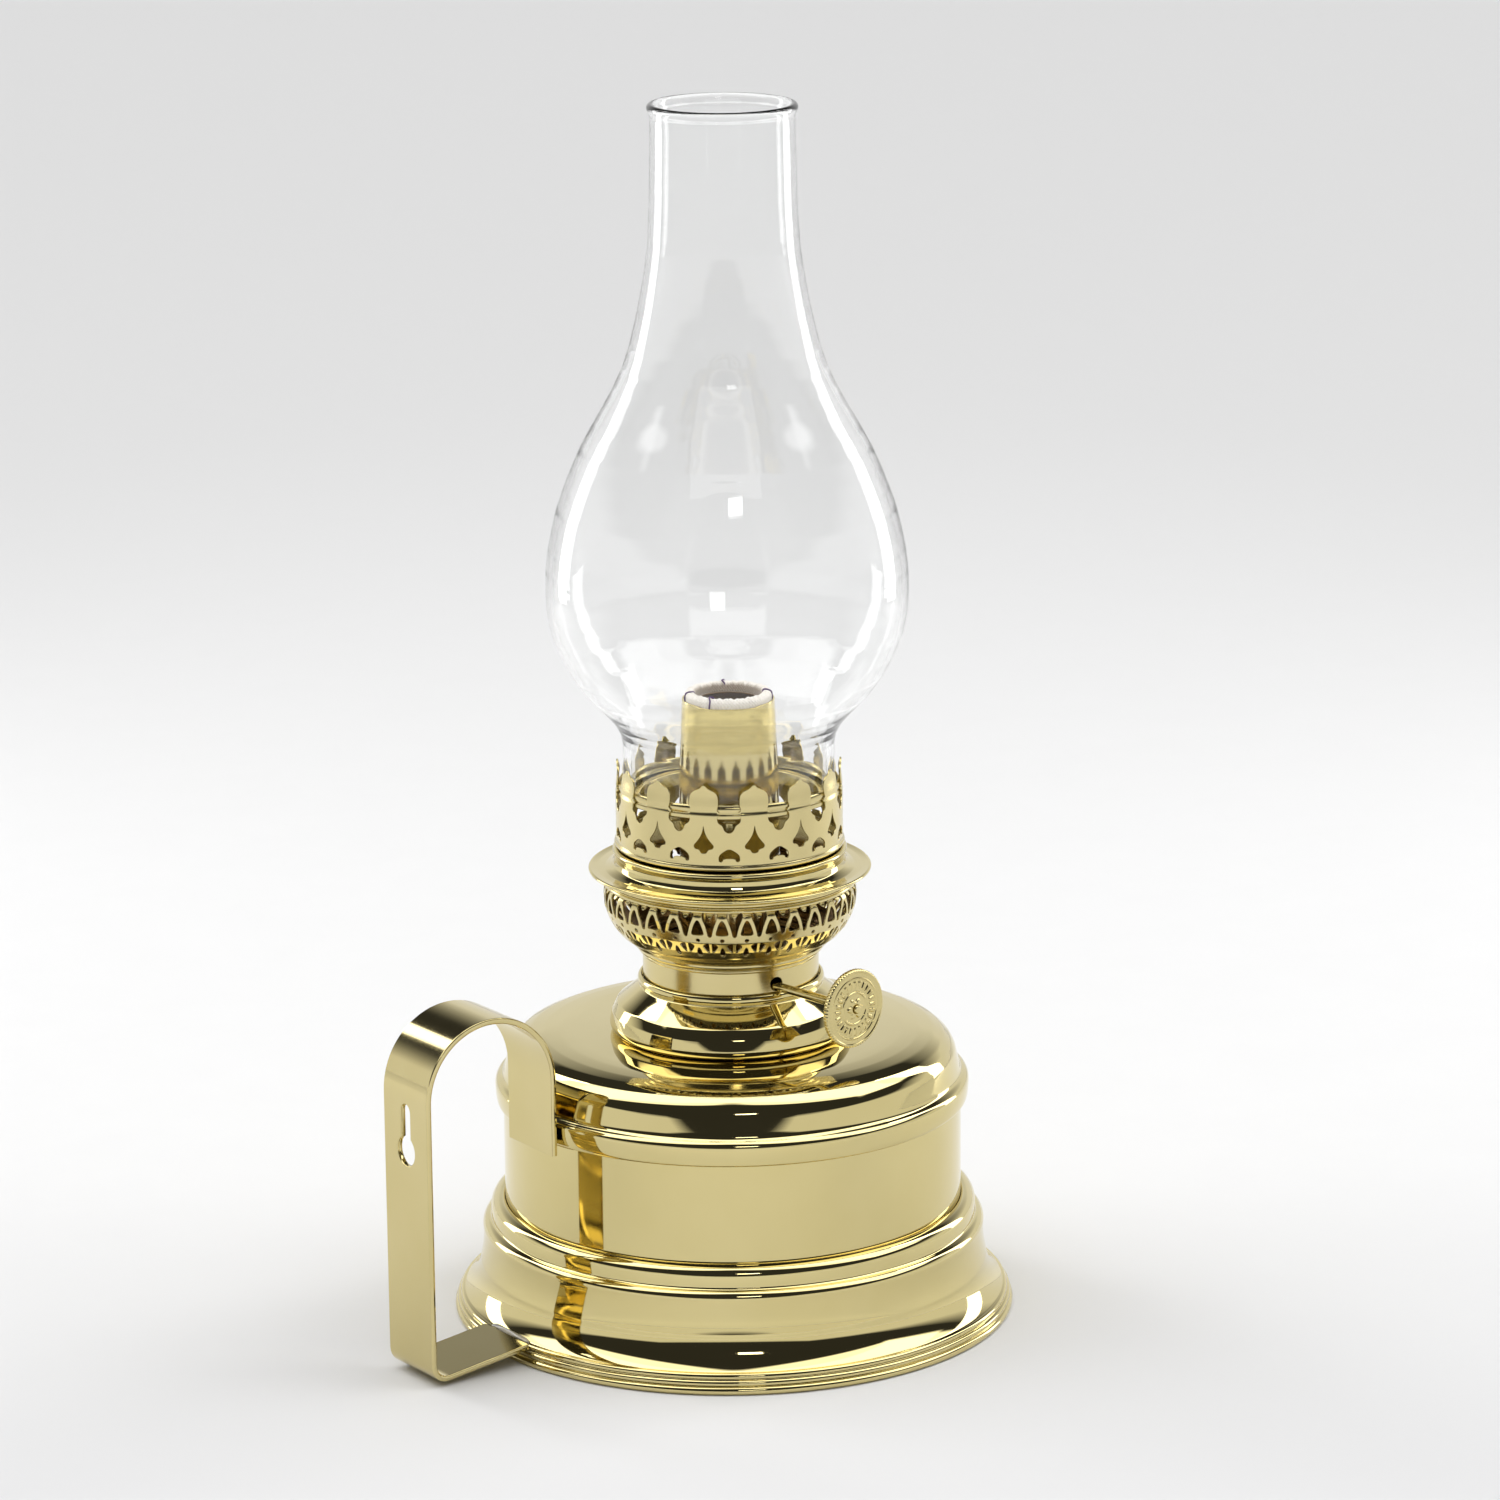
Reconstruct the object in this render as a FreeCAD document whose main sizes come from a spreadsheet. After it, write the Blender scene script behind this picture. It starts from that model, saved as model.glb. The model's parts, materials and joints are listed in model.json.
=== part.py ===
import FreeCAD, Part
import os
import math
import Sketcher
from FreeCAD import Placement, Rotation, Vector

# Table oil lamp with a round-wick burner, a clear bulb chimney and a strap handle with a
# keyhole.  Millimetres and degrees.  +Z is up, the origin is the middle of the foot on the
# table, the handle reaches out along -X and the wick knob along -Y.

# ---------------------------------------------------------------- driving sizes

SIZES = {
    # pressed base and oil tank
    "foot_radius": 70.0,
    "skirt_radius": 62.6,
    "step_radius": 60.5,
    "step_height": 23.6,
    "skirt_height": 29.0,
    "tank_radius": 57.0,
    "tank_floor": 12.0,
    "sheet": 0.8,
    "lip_radius": 58.9,
    "lip_bottom": 53.8,
    "shoulder_radius": 56.1,
    "dome_top": 71.5,
    "dome_hole": 24.0,
    # collar that the burner screws into
    "collar_foot": 28.8,
    "collar_belly": 30.2,
    "collar_neck": 22.6,
    "collar_bead": 23.1,
    "collar_mouth": 22.15,
    "collar_top": 85.9,
    "bush_bore": 20.9,
    "bush_bottom": 77.5,
    "bush_top": 84.2,
    # handle strap
    "strap_width": 19.0,
    "strap_thick": 1.5,
    "strap_reach": 96.5,
    "strap_back": 59.05,
    "strap_end": 52.0,
    "strap_low": 1.2,
    "strap_foot": 68.4,
    "strap_rise": 3.0,
    "arch_centre": 71.45,
    "corner_radius": 4.5,
    "key_radius": 3.75,
    "key_slot": 2.0,
    "key_height": 58.3,
    "key_length": 9.8,
    "solder_top_width": 10.0,
    "solder_foot_width": 16.0,
    # burner body
    "band_radius": 21.8,
    "band_bottom": 84.8,
    "band_top": 91.4,
    "thread_radius": 20.6,
    "thread_bottom": 78.5,
    "basket_radius": 31.3,
    "basket_top": 112.8,
    "basket_sheet": 0.6,
    "flange_radius": 35.0,
    "flange_height": 113.0,
    "throat_radius": 28.35,
    # wick tubes and wick
    "wick_outer": 10.7,
    "wick_inner": 8.2,
    "wick_top": 157.0,
    "wick_tail": 24.0,
    "tube_top_radius": 11.5,
    "tube_radius": 12.3,
    "tube_top": 156.2,
    "tube_bottom": 80.0,
    "tube_sheet": 0.5,
    "air_radius": 7.9,
    "air_bottom": 94.0,
    "duct_low": 98.0,
    "duct_high": 105.0,
    "duct_half": 3.5,
    "duct_side": 2.5,
    # wick raiser
    "shaft_radius": 1.15,
    "shaft_height": 87.4,
    "shaft_side": 5.0,
    "shaft_inner": 3.5,
    "shaft_outer": 50.4,
    "wheel_radius": 3.05,
    "wheel_thick": 2.0,
    "wheel_gap": 2.6,
    "knob_radius": 9.75,
    "knob_thick": 2.0,
    "knob_face": 49.3,
    "fit": 0.05,
    # crown that holds the chimney
    "crown_radius": 28.0,
    "crown_bottom": 113.2,
    "crown_top": 140.4,
    "crown_crease": 133.5,
    "crown_pinch": 26.8,
    "crown_sheet": 0.5,
    "shelf_top": 132.4,
    "shelf_bore": 21.0,
    # chimney
    "glass_fitter": 26.0,
    "glass_bulb": 44.3,
    "glass_neck": 18.0,
    "glass_bottom": 132.5,
    "glass_top": 300.0,
    "glass_wall": 1.8,
}
PRONGS = 14
BASKET_HOLES = 32
WHEEL_TEETH = 10
SHAFT_ANGLE = 8.2        # degrees that the shaft leans from -Y towards +X
CROWN_TURN = -10.1       # degrees from -Y to the first gap between two prongs

doc = FreeCAD.newDocument("oil_lamp")
sheet = doc.addObject("Spreadsheet::Sheet", "Sizes")
for row, (word, value) in enumerate(SIZES.items(), start=1):
    sheet.set("A%d" % row, word)
    sheet.set("B%d" % row, str(value))
    sheet.setAlias("B%d" % row, word)
doc.recompute()


class Size:
    """A length with the text that binds it to the sheet."""

    def __init__(self, value, text):
        self.value = value
        self.text = text

    def combine(self, other, sign, value):
        text = other.text if isinstance(other, Size) else "%.6g" % other
        return Size(value, "(%s %s %s)" % (self.text, sign, text))

    def __add__(self, other):
        return self.combine(other, "+", self.value + plain(other))

    def __sub__(self, other):
        return self.combine(other, "-", self.value - plain(other))

    def __mul__(self, factor):
        return self.combine(factor, "*", self.value * plain(factor))

    def __neg__(self):
        return Size(-self.value, "(0 - %s)" % self.text)


def plain(length):
    """The number in a Size, or the number itself."""
    return length.value if isinstance(length, Size) else float(length)


def size(word):
    """The size that a sheet cell holds."""
    return Size(float(sheet.get(word)), "Sizes.%s" % word)


def bind(target, prop, length):
    """Bind one property of an object to a size, or set it when it is a plain number."""
    if isinstance(length, Size):
        target.setExpression(prop, length.text)
    else:
        setattr(target, prop, length)


# ---------------------------------------------------------------- sketches and features

def origin_part(body, role):
    """One of a body's own origin planes or axes."""
    return next(item for item in body.Origin.OriginFeatures if item.Role == role)


def new_body(name):
    body = doc.addObject("PartDesign::Body", name + "_body")
    body.Label = name
    return body


def new_sketch(body, name, plane="XZ_Plane", turn=0.0, lift=None):
    """A sketch on an origin plane, turned about Z, or lifted off the plane along its normal."""
    sketch = body.newObject("Sketcher::SketchObject", name)
    sketch.AttachmentSupport = [(origin_part(body, plane), "")]
    sketch.MapMode = "FlatFace"
    sketch.AttachmentOffset = Placement(Vector(0, 0, 0), Rotation(Vector(0, 1, 0), turn))
    if isinstance(lift, Size):
        sketch.setExpression("AttachmentOffset.Base.z", lift.text)
    elif lift is not None:
        sketch.AttachmentOffset.Base.z = lift
    return sketch


def fix_point(sketch, geometry, position, point):
    """Fix a point of a sketch at its two coordinates, bound to the sheet."""
    for kind, length in (("DistanceX", point[0]), ("DistanceY", point[1])):
        constraint = Sketcher.Constraint(kind, geometry, position, plain(length))
        index = sketch.addConstraint(constraint)
        if isinstance(length, Size):
            sketch.setExpression("Constraints[%d]" % index, length.text)


def draw(sketch, outline):
    """Draw a closed outline.  A point (x, y) is a corner; (x, y, "arc") lies on an arc
    between the corners before and after it."""
    corners = []
    middles = {}
    for point in outline:
        if len(point) == 3:
            middles[len(corners) - 1] = point[:2]
        else:
            corners.append(point)
    vectors = [Vector(plain(x), plain(y), 0) for x, y in corners]
    ends = []
    for index, start in enumerate(vectors):
        stop = vectors[(index + 1) % len(vectors)]
        if index in middles:
            x, y = middles[index]
            arc = Part.Arc(start, Vector(plain(x), plain(y), 0), stop)
            geometry = sketch.addGeometry(arc, False)
            forward = sketch.getPoint(geometry, 1).distanceToPoint(start) < 1e-4
            ends.append((geometry, 1, 2) if forward else (geometry, 2, 1))
            middle = sketch.addGeometry(Part.Point(Vector(plain(x), plain(y), 0)), True)
            sketch.addConstraint(Sketcher.Constraint("PointOnObject", middle, 1, geometry))
            fix_point(sketch, middle, 1, (x, y))
        else:
            ends.append((sketch.addGeometry(Part.LineSegment(start, stop), False), 1, 2))
    for index, (geometry, first, last) in enumerate(ends):
        following = ends[(index + 1) % len(ends)]
        sketch.addConstraint(Sketcher.Constraint("Coincident", geometry, last, following[0], following[1]))
        fix_point(sketch, geometry, first, corners[index])


def circle(sketch, centre, radius):
    """A circle bound to its centre and radius."""
    middle = Vector(plain(centre[0]), plain(centre[1]), 0)
    geometry = sketch.addGeometry(Part.Circle(middle, Vector(0, 0, 1), plain(radius)), False)
    fix_point(sketch, geometry, 3, centre)
    index = sketch.addConstraint(Sketcher.Constraint("Radius", geometry, plain(radius)))
    if isinstance(radius, Size):
        sketch.setExpression("Constraints[%d]" % index, radius.text)


def turned(name, outline, plane="XZ_Plane"):
    """A body turned about Z from (radius, height) points, or about Y from an XY outline."""
    body = new_body(name)
    sketch = new_sketch(body, name + "_profile", plane)
    draw(sketch, outline)
    turn = body.newObject("PartDesign::Revolution", name + "_turn")
    turn.Profile = sketch
    turn.ReferenceAxis = (sketch, ["V_Axis"])
    turn.Angle = 360
    doc.recompute()
    return body


def padded(name, plane, outline, length, lift=None, centred=False):
    """A body padded from one outline."""
    body = new_body(name)
    sketch = new_sketch(body, name + "_profile", plane, lift=lift)
    draw(sketch, outline)
    pad = body.newObject("PartDesign::Pad", name + "_pad")
    pad.Profile = sketch
    bind(pad, "Length", length)
    pad.SideType = "Symmetric" if centred else "One side"
    doc.recompute()
    return body


def pocket(body, name, outlines, length, plane="XZ_Plane", turn=0.0, circles=(), lift=None):
    """Cut outlines through a body: towards -Y or -X, or up from the XY plane."""
    before = body.Shape.Volume
    sketch = new_sketch(body, name + "_outline", plane, turn, lift)
    for outline in outlines:
        draw(sketch, outline)
    for centre, radius in circles:
        circle(sketch, centre, radius)
    cut = body.newObject("PartDesign::Pocket", name)
    cut.Profile = sketch
    cut.Length = length
    cut.Reversed = plane != "YZ_Plane"
    doc.recompute()
    if body.Shape.Volume >= before - 1e-6:
        raise ValueError("%s cuts nothing" % name)
    return cut


def around(body, name, features, count):
    """Repeat features evenly about Z."""
    pattern = body.newObject("PartDesign::PolarPattern", name)
    pattern.Originals = features
    pattern.Axis = (origin_part(body, "Z_Axis"), [""])
    pattern.Angle = 360
    pattern.Occurrences = count
    body.Tip = pattern
    doc.recompute()
    return pattern


def mirrored_outline(right_half):
    """An outline from its right half, listed from top to bottom."""
    left_half = [(-x, y) for x, y in reversed(right_half) if x > 0]
    return list(right_half) + left_half


# ---------------------------------------------------------------- base and tank

def base_skirt():
    foot = size("foot_radius")
    skirt = size("skirt_radius")
    step = size("step_radius")
    ledge = size("step_height")
    top = size("skirt_height")
    tank = size("tank_radius")
    return turned("base_skirt", [
        (foot - 1.6, 0.0),
        (foot, 1.2, "arc"),
        (foot - 1.0, 2.2),
        (foot - 0.7, 3.0, "arc"),
        (foot - 1.7, 3.7),
        (foot - 1.8, 4.4, "arc"),
        (foot - 2.9, 5.1),
        (skirt + 1.5, 10.0, "arc"),
        (skirt + 0.2, 16.0),
        (skirt, ledge - 2.2),
        (skirt - 0.55, ledge - 0.6, "arc"),
        (step + 0.3, ledge),
        (step, top - 2.0),
        (step - 1.1, top - 0.5, "arc"),
        (tank + 0.4, top),
        (tank + 0.05, top - 0.1),
        (tank + 0.05, top - 0.9),
        (step - 1.7, top - 1.5),
        (step - 0.9, top - 2.4),
        (step - 0.7, ledge - 0.9),
        (skirt - 1.5, ledge - 1.2),
        (skirt - 0.9, ledge - 2.6),
        (skirt - 0.7, 16.0),
        (skirt + 0.5, 10.0, "arc"),
        (foot - 3.9, 4.4),
        (foot - 2.4, 3.0),
        (foot - 2.4, 0.0),
    ])


def tank_wall():
    radius = size("tank_radius")
    thick = size("sheet")
    floor = size("tank_floor")
    top = size("lip_bottom") + 1.0
    return turned("tank_wall", [
        (radius, floor - 3.5),
        (radius, top),
        (radius - thick, top),
        (radius - thick, floor - 3.5),
    ])


def tank_bottom():
    radius = size("tank_radius") - size("sheet") - size("fit")
    floor = size("tank_floor")
    return turned("tank_bottom", [
        (0.0, floor + 1.2),
        (radius * 0.6, floor + 0.9),
        (radius - 3.0, floor),
        (radius, floor),
        (radius, floor - 3.0),
        (radius - 0.8, floor - 3.0),
        (radius - 0.8, floor - 0.8),
        (radius - 3.2, floor - 0.8),
        (radius * 0.6, floor + 0.1),
        (0.0, floor + 0.4),
    ])


def tank_cover():
    lip = size("lip_radius")
    low = size("lip_bottom")
    wall = size("tank_radius")
    shoulder = size("shoulder_radius")
    top = size("dome_top")
    hole = size("dome_hole")
    thick = size("sheet")
    return turned("tank_cover", [
        (wall, low),
        (lip - 0.8, low),
        (lip - 0.4, low + 0.4),
        (lip, low + 4.4),
        (lip - 0.3, low + 5.8, "arc"),
        (lip - 1.3, low + 6.5),
        (shoulder + 0.4, low + 6.6),
        (shoulder, low + 7.2),
        (shoulder, low + 10.2),
        (shoulder - 2.1, top - 2.9, "arc"),
        (shoulder - 6.6, top - 0.9),
        (shoulder * 0.5 + 14.0, top - 0.2),
        (hole, top),
        (hole, top - thick),
        (shoulder * 0.5 + 14.0, top - thick - 0.2),
        (shoulder - 6.9, top - thick - 0.9),
        (shoulder - 2.7, top - thick - 3.3, "arc"),
        (shoulder - thick, low + 10.2),
        (shoulder - thick, low + 6.0),
        (lip - 1.2, low + 5.4),
        (wall, low + 4.4),
    ])


def collar():
    foot = size("collar_foot")
    belly = size("collar_belly")
    neck = size("collar_neck")
    bead = size("collar_bead")
    mouth = size("collar_mouth")
    top = size("collar_top")
    seat = size("dome_top")
    thick = size("sheet")
    return turned("tank_collar", [
        (foot, seat),
        (belly - 0.25, seat + 1.0, "arc"),
        (belly, seat + 2.4),
        (foot - 0.5, top - 7.0, "arc"),
        (bead + 0.7, top - 3.4),
        (neck, top - 2.7),
        (bead - 0.4, top - 2.5),
        (bead, top - 1.3, "arc"),
        (bead - 0.4, top),
        (mouth, top),
        (mouth, top - 3.2),
        (bead - 0.3, top - 4.0),
        (foot - 1.3, top - 7.6, "arc"),
        (belly - thick, seat + 2.4),
        (foot - thick, seat),
    ])


def collar_bush():
    bore = size("bush_bore")
    low = size("bush_bottom")
    top = size("bush_top")
    mouth = size("collar_mouth")
    depth = 0.35
    pitch = 1.6
    inner = []
    turns = 3
    for index in range(turns):
        base = low + (1.2 + index * pitch)
        inner += [(bore, base), (bore + depth, base + 0.4), (bore + depth, base + 0.8), (bore, base + 1.2)]
    return turned("collar_bush", [
        (mouth, top),
        (mouth, low + 4.6),
        (bore + 0.9, low + 4.0),
        (bore + 0.9, low),
        (bore, low),
    ] + inner + [(bore, top)])


# ---------------------------------------------------------------- handle

def handle_strap():
    reach = size("strap_reach")
    back = size("strap_back")
    thick = size("strap_thick")
    low = size("strap_low")
    foot = size("strap_foot")
    rise = size("strap_rise")
    end = size("strap_end")
    centre = size("arch_centre")
    corner = size("corner_radius")
    middle = (reach + back) * 0.5
    outer = (reach - back) * 0.5
    bulge = 1 - math.sqrt(0.5)
    body = padded("handle_strap", "XZ_Plane", [
        (-foot, low + rise),
        (-reach + corner, low + 0.05),
        (-reach + corner * bulge, low + corner * bulge, "arc"),
        (-reach, low + corner),
        (-reach, centre),
        (-middle, centre + outer, "arc"),
        (-back, centre),
        (-back, end),
        (-back - thick, end),
        (-back - thick, centre),
        (-middle, centre + outer - thick, "arc"),
        (-reach + thick, centre),
        (-reach + thick, low + corner),
        (-reach + thick + (corner - thick) * bulge, low + thick + (corner - thick) * bulge, "arc"),
        (-reach + corner, low + thick + 0.05),
        (-foot, low + rise + thick),
    ], size("strap_width"), centred=True)
    radius = size("key_radius")
    slot = size("key_slot")
    height = size("key_height")
    length = size("key_length")
    shoulder = height + math.sqrt(SIZES["key_radius"] ** 2 - SIZES["key_slot"] ** 2)
    outline = [
        (-slot, shoulder),
        (-slot, height + length),
        (0.0, height + length + slot, "arc"),
        (slot, height + length),
        (slot, shoulder),
        (0.0, height - radius, "arc"),
    ]
    pocket(body, "keyhole", [outline], 20.0, "YZ_Plane", lift=-reach + 10.0)
    return body


# ---------------------------------------------------------------- burner body

def burner_thread():
    radius = size("thread_radius")
    low = size("thread_bottom")
    band = size("band_bottom")
    thick = size("sheet")
    return turned("burner_thread", [
        (radius, low),
        (radius, band),
        (radius - thick, band),
        (radius - thick, low + 0.8),
        (radius - thick - 0.4, low),
    ])


def burner_seal():
    return turned("burner_seal", [
        (size("thread_radius") + 0.05, size("bush_top")),
        (size("band_radius") - 0.05, size("bush_top")),
        (size("band_radius") - 0.05, size("band_bottom")),
        (size("thread_radius") + 0.05, size("band_bottom")),
    ])


def burner_band():
    radius = size("band_radius")
    low = size("band_bottom")
    top = size("band_top")
    thick = size("sheet")
    body = turned("burner_band", [
        (radius, low),
        (radius, top),
        (radius - thick, top),
        (radius - thick, low + thick),
        (size("thread_radius") - thick, low + thick),
        (size("thread_radius") - thick, low),
    ])
    drift = SIZES["band_radius"] * math.tan(math.radians(SHAFT_ANGLE))
    hole = (-size("shaft_side") + drift, size("shaft_height") + 0.55)
    pocket(body, "shaft_hole", [], 30.0, circles=[(hole, 1.75)])
    return body


def basket_points():
    """The outer outline of the perforated basket, from its foot to its rim."""
    wide = size("basket_radius")
    low = size("band_top")
    top = size("basket_top")
    return [
        (size("band_radius") - 0.2, low),
        (size("band_radius") + 0.5, low + 0.6, "arc"),
        (size("band_radius") + 2.6, low + 2.6),
        (wide - 2.7, low + 7.8, "arc"),
        (wide, low + 14.0),
        (wide - 0.1, top - 3.8, "arc"),
        (wide - 0.6, top - 2.6),
        (wide + 0.1, top - 1.4, "arc"),
        (wide - 0.5, top - 0.3),
    ]


def burner_basket():
    wide = size("basket_radius")
    low = size("band_top")
    top = size("basket_top")
    thick = size("basket_sheet")
    body = turned("burner_basket", basket_points() + [
        (wide - 0.5 - thick, top - 0.3),
        (wide - 0.6 - thick, top - 2.6),
        (wide - 0.1 - thick, top - 3.8, "arc"),
        (wide - thick, low + 14.0),
        (wide - 2.6 - thick, low + 8.2, "arc"),
        (size("band_radius") + 1.9, low + 3.1),
        (size("band_radius") - 1.0, low + 0.9),
        (size("band_radius") - 1.0, low),
    ])
    tall = low + 13.3
    vee = mirrored_outline([(0.0, tall + 2.6), (1.5, tall + 5.2), (2.1, tall + 4.4), (0.45, tall)])
    bell = mirrored_outline([(0.0, tall + 2.6), (1.1, tall + 0.4), (0.9, tall - 0.5), (0.0, tall - 0.6)])
    foot = mirrored_outline([(0.0, low + 9.2), (1.0, low + 9.2), (1.5, low + 8.6), (0.0, low + 6.2)])
    half = 180.0 / BASKET_HOLES
    cuts = [
        pocket(body, "basket_vee", [vee, foot], 40.0),
        pocket(body, "basket_bell", [bell], 40.0, turn=half, circles=[((0.0, low + 10.9), 0.55)]),
    ]
    around(body, "basket_pattern", cuts, BASKET_HOLES)
    return body


def flange_ring():
    wide = size("flange_radius")
    level = size("flange_height")
    throat = size("throat_radius")
    return turned("flange_ring", [
        (wide - 0.6, level - 0.3),
        (wide, level + 0.1, "arc"),
        (wide - 0.5, level + 0.6),
        (wide - 3.2, level + 0.05, "arc"),
        (throat + 1.2, level + 0.6),
        (throat + 0.25, level + 1.2, "arc"),
        (throat, level + 2.2),
        (throat, level + 5.6),
        (throat - 0.6, level + 5.6),
        (throat - 0.6, level + 2.2),
        (throat - 0.3, level + 0.9, "arc"),
        (throat + 0.6, level - 0.15),
        (wide - 3.2, level - 0.5),
    ])


def seat_ring():
    """The shelf inside the basket that carries the crown and joins the flange to the basket."""
    level = size("flange_height")
    throat = size("throat_radius")
    wide = size("basket_radius")
    return turned("seat_ring", [
        (throat - 4.4, level + 0.1),
        (throat - 0.9, level + 0.1),
        (throat + 0.5, level - 0.5),
        (wide - 1.15, level - 0.5),
        (wide - 1.15, level - 1.15),
        (throat + 0.3, level - 1.15),
        (throat - 1.1, level - 0.55),
        (throat - 4.4, level - 0.55),
    ])


def burner_floor():
    """The plate that closes the basket's foot and carries the wick tube."""
    level = size("band_top")
    wide = size("band_radius") - 1.05
    tube = size("tube_radius") + size("fit")
    return turned("burner_floor", [
        (tube, level),
        (wide, level),
        (wide, level + 0.8),
        (tube + 0.8, level + 0.8),
        (tube + 0.8, level + 3.0),
        (tube, level + 3.0),
    ])


def outer_wick_tube():
    wide = size("tube_radius")
    narrow = size("tube_top_radius")
    low = size("tube_bottom")
    top = size("tube_top")
    thick = size("tube_sheet")
    body = turned("outer_wick_tube", [
        (wide, low),
        (wide, top - 21.0),
        (narrow + 0.5, top - 9.0, "arc"),
        (narrow, top),
        (narrow - thick, top),
        (narrow + 0.5 - thick, top - 9.0, "arc"),
        (wide - thick, top - 21.0),
        (wide - thick, low),
    ])
    side = size("duct_side")
    half = size("duct_half")
    window = [
        (half - side, size("duct_low")),
        (half - side, size("duct_high")),
        (-half - side, size("duct_high")),
        (-half - side, size("duct_low")),
    ]
    gate = [
        (-size("shaft_side") + 4.6, low - 1.0),
        (-size("shaft_side") + 4.6, size("shaft_height") + 2.2),
        (-size("shaft_side") - 1.6, size("shaft_height") + 2.2),
        (-size("shaft_side") - 1.6, low - 1.0),
    ]
    pocket(body, "duct_window", [window, gate], 20.0)
    return body


def inner_air_tube():
    radius = size("air_radius")
    low = size("air_bottom")
    top = size("tube_top") - 0.4
    thick = size("tube_sheet")
    body = turned("inner_air_tube", [
        (0.0, low),
        (radius, low),
        (radius, top),
        (radius - thick, top),
        (radius - thick, low + thick),
        (0.0, low + thick),
    ])
    side = size("duct_side")
    half = size("duct_half")
    window = [
        (half - side, size("duct_low")),
        (half - side, size("duct_high")),
        (-half - side, size("duct_high")),
        (-half - side, size("duct_low")),
    ]
    pocket(body, "air_window", [window], 20.0)
    return body


def air_duct():
    """The short square duct that feeds air through the wick's slit to the inner tube."""
    half = size("duct_half")
    side = size("duct_side")
    low = size("duct_low")
    high = size("duct_high")
    thick = size("tube_sheet")
    reach = size("tube_radius") + 0.8
    body = padded("air_duct", "XZ_Plane", [
        (half - side, low),
        (half - side, high),
        (-half - side, high),
        (-half - side, low),
    ], reach)
    bore = [
        (half - side - thick, low + thick),
        (half - side - thick, high - thick),
        (-half - side + thick, high - thick),
        (-half - side + thick, low + thick),
    ]
    pocket(body, "duct_bore", [bore], 20.0)
    clear = size("air_radius") - thick * 0.5
    pocket(body, "duct_well", [], 150.0, "XY_Plane", circles=[((0.0, 0.0), clear)])
    return body


# ---------------------------------------------------------------- wick and its raiser

def place_on_shaft(body):
    """Move a piece modelled about the shaft (its axis along -Y) to the shaft's real place."""
    body.Placement = Placement(Vector(0, 0, 0), Rotation(Vector(0, 0, 1), SHAFT_ANGLE))
    body.setExpression("Placement.Base.x", "0 - Sizes.shaft_side")
    body.setExpression("Placement.Base.z", "Sizes.shaft_height")
    doc.recompute()
    return body


def raiser_bracket():
    """The channel under the air tube whose two ears carry the shaft."""
    ear = size("wheel_gap")
    thick = 0.6
    top = size("air_bottom") - size("shaft_height")
    body = padded("raiser_bracket", "YZ_Plane", [
        (ear + thick, -2.2),
        (ear + thick, top),
        (-ear - thick, top),
        (-ear - thick, -2.2),
        (-ear, -2.2),
        (-ear, top - thick),
        (ear, top - thick),
        (ear, -2.2),
    ], size("shaft_side") + 4.0, lift=-size("shaft_radius") - 0.25)
    bore = ((0.0, 0.0), size("shaft_radius") + size("fit"))
    pocket(body, "bracket_bores", [], 12.0, circles=[bore], lift=-6.0)
    return place_on_shaft(body)


def wick_shaft():
    radius = size("shaft_radius")
    inner = size("shaft_inner")
    outer = size("shaft_outer")
    body = turned("wick_shaft", [
        (0.0, inner),
        (radius - 0.2, inner),
        (radius, inner - 0.2),
        (radius, -outer + 0.3),
        (radius - 0.35, -outer),
        (0.0, -outer),
    ], "XY_Plane")
    return place_on_shaft(body)


def wick_wheel():
    """The toothed wheel that bites the wick."""
    tip = size("wheel_radius")
    outline = []
    for tooth in range(WHEEL_TEETH):
        start = tooth * 360.0 / WHEEL_TEETH
        for turn, reach in ((0.0, 1.0), (9.0, 0.96), (18.0, 0.78), (27.0, 0.96)):
            angle = math.radians(start + turn)
            outline.append((tip * (reach * math.cos(angle)), tip * (reach * math.sin(angle))))
    body = new_body("wick_wheel")
    sketch = new_sketch(body, "wick_wheel_profile")
    draw(sketch, outline)
    circle(sketch, (0.0, 0.0), size("shaft_radius"))
    pad = body.newObject("PartDesign::Pad", "wick_wheel_pad")
    pad.Profile = sketch
    pad.SideType = "Symmetric"
    bind(pad, "Length", size("wheel_thick"))
    doc.recompute()
    return place_on_shaft(body)


def wick_knob():
    radius = size("knob_radius")
    bore = size("shaft_radius")
    face = -size("knob_face")
    back = face + size("knob_thick")
    body = turned("wick_knob", [
        (bore, back + 0.4),
        (bore + 1.2, back + 0.4),
        (bore + 1.5, back),
        (radius - 0.4, back),
        (radius, back - 0.35),
        (radius, face + 0.35),
        (radius - 0.4, face),
        (radius * 0.88, face),
        (radius * 0.85, face + 0.3),
        (radius * 0.43, face + 0.3),
        (radius * 0.40, face),
        (radius * 0.34, face),
        (radius * 0.31, face + 0.3),
        (bore + 1.5, face + 0.3),
        (bore + 1.1, face - 0.6),
        (bore, face - 0.6),
    ], "XY_Plane")
    return place_on_shaft(body)


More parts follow.
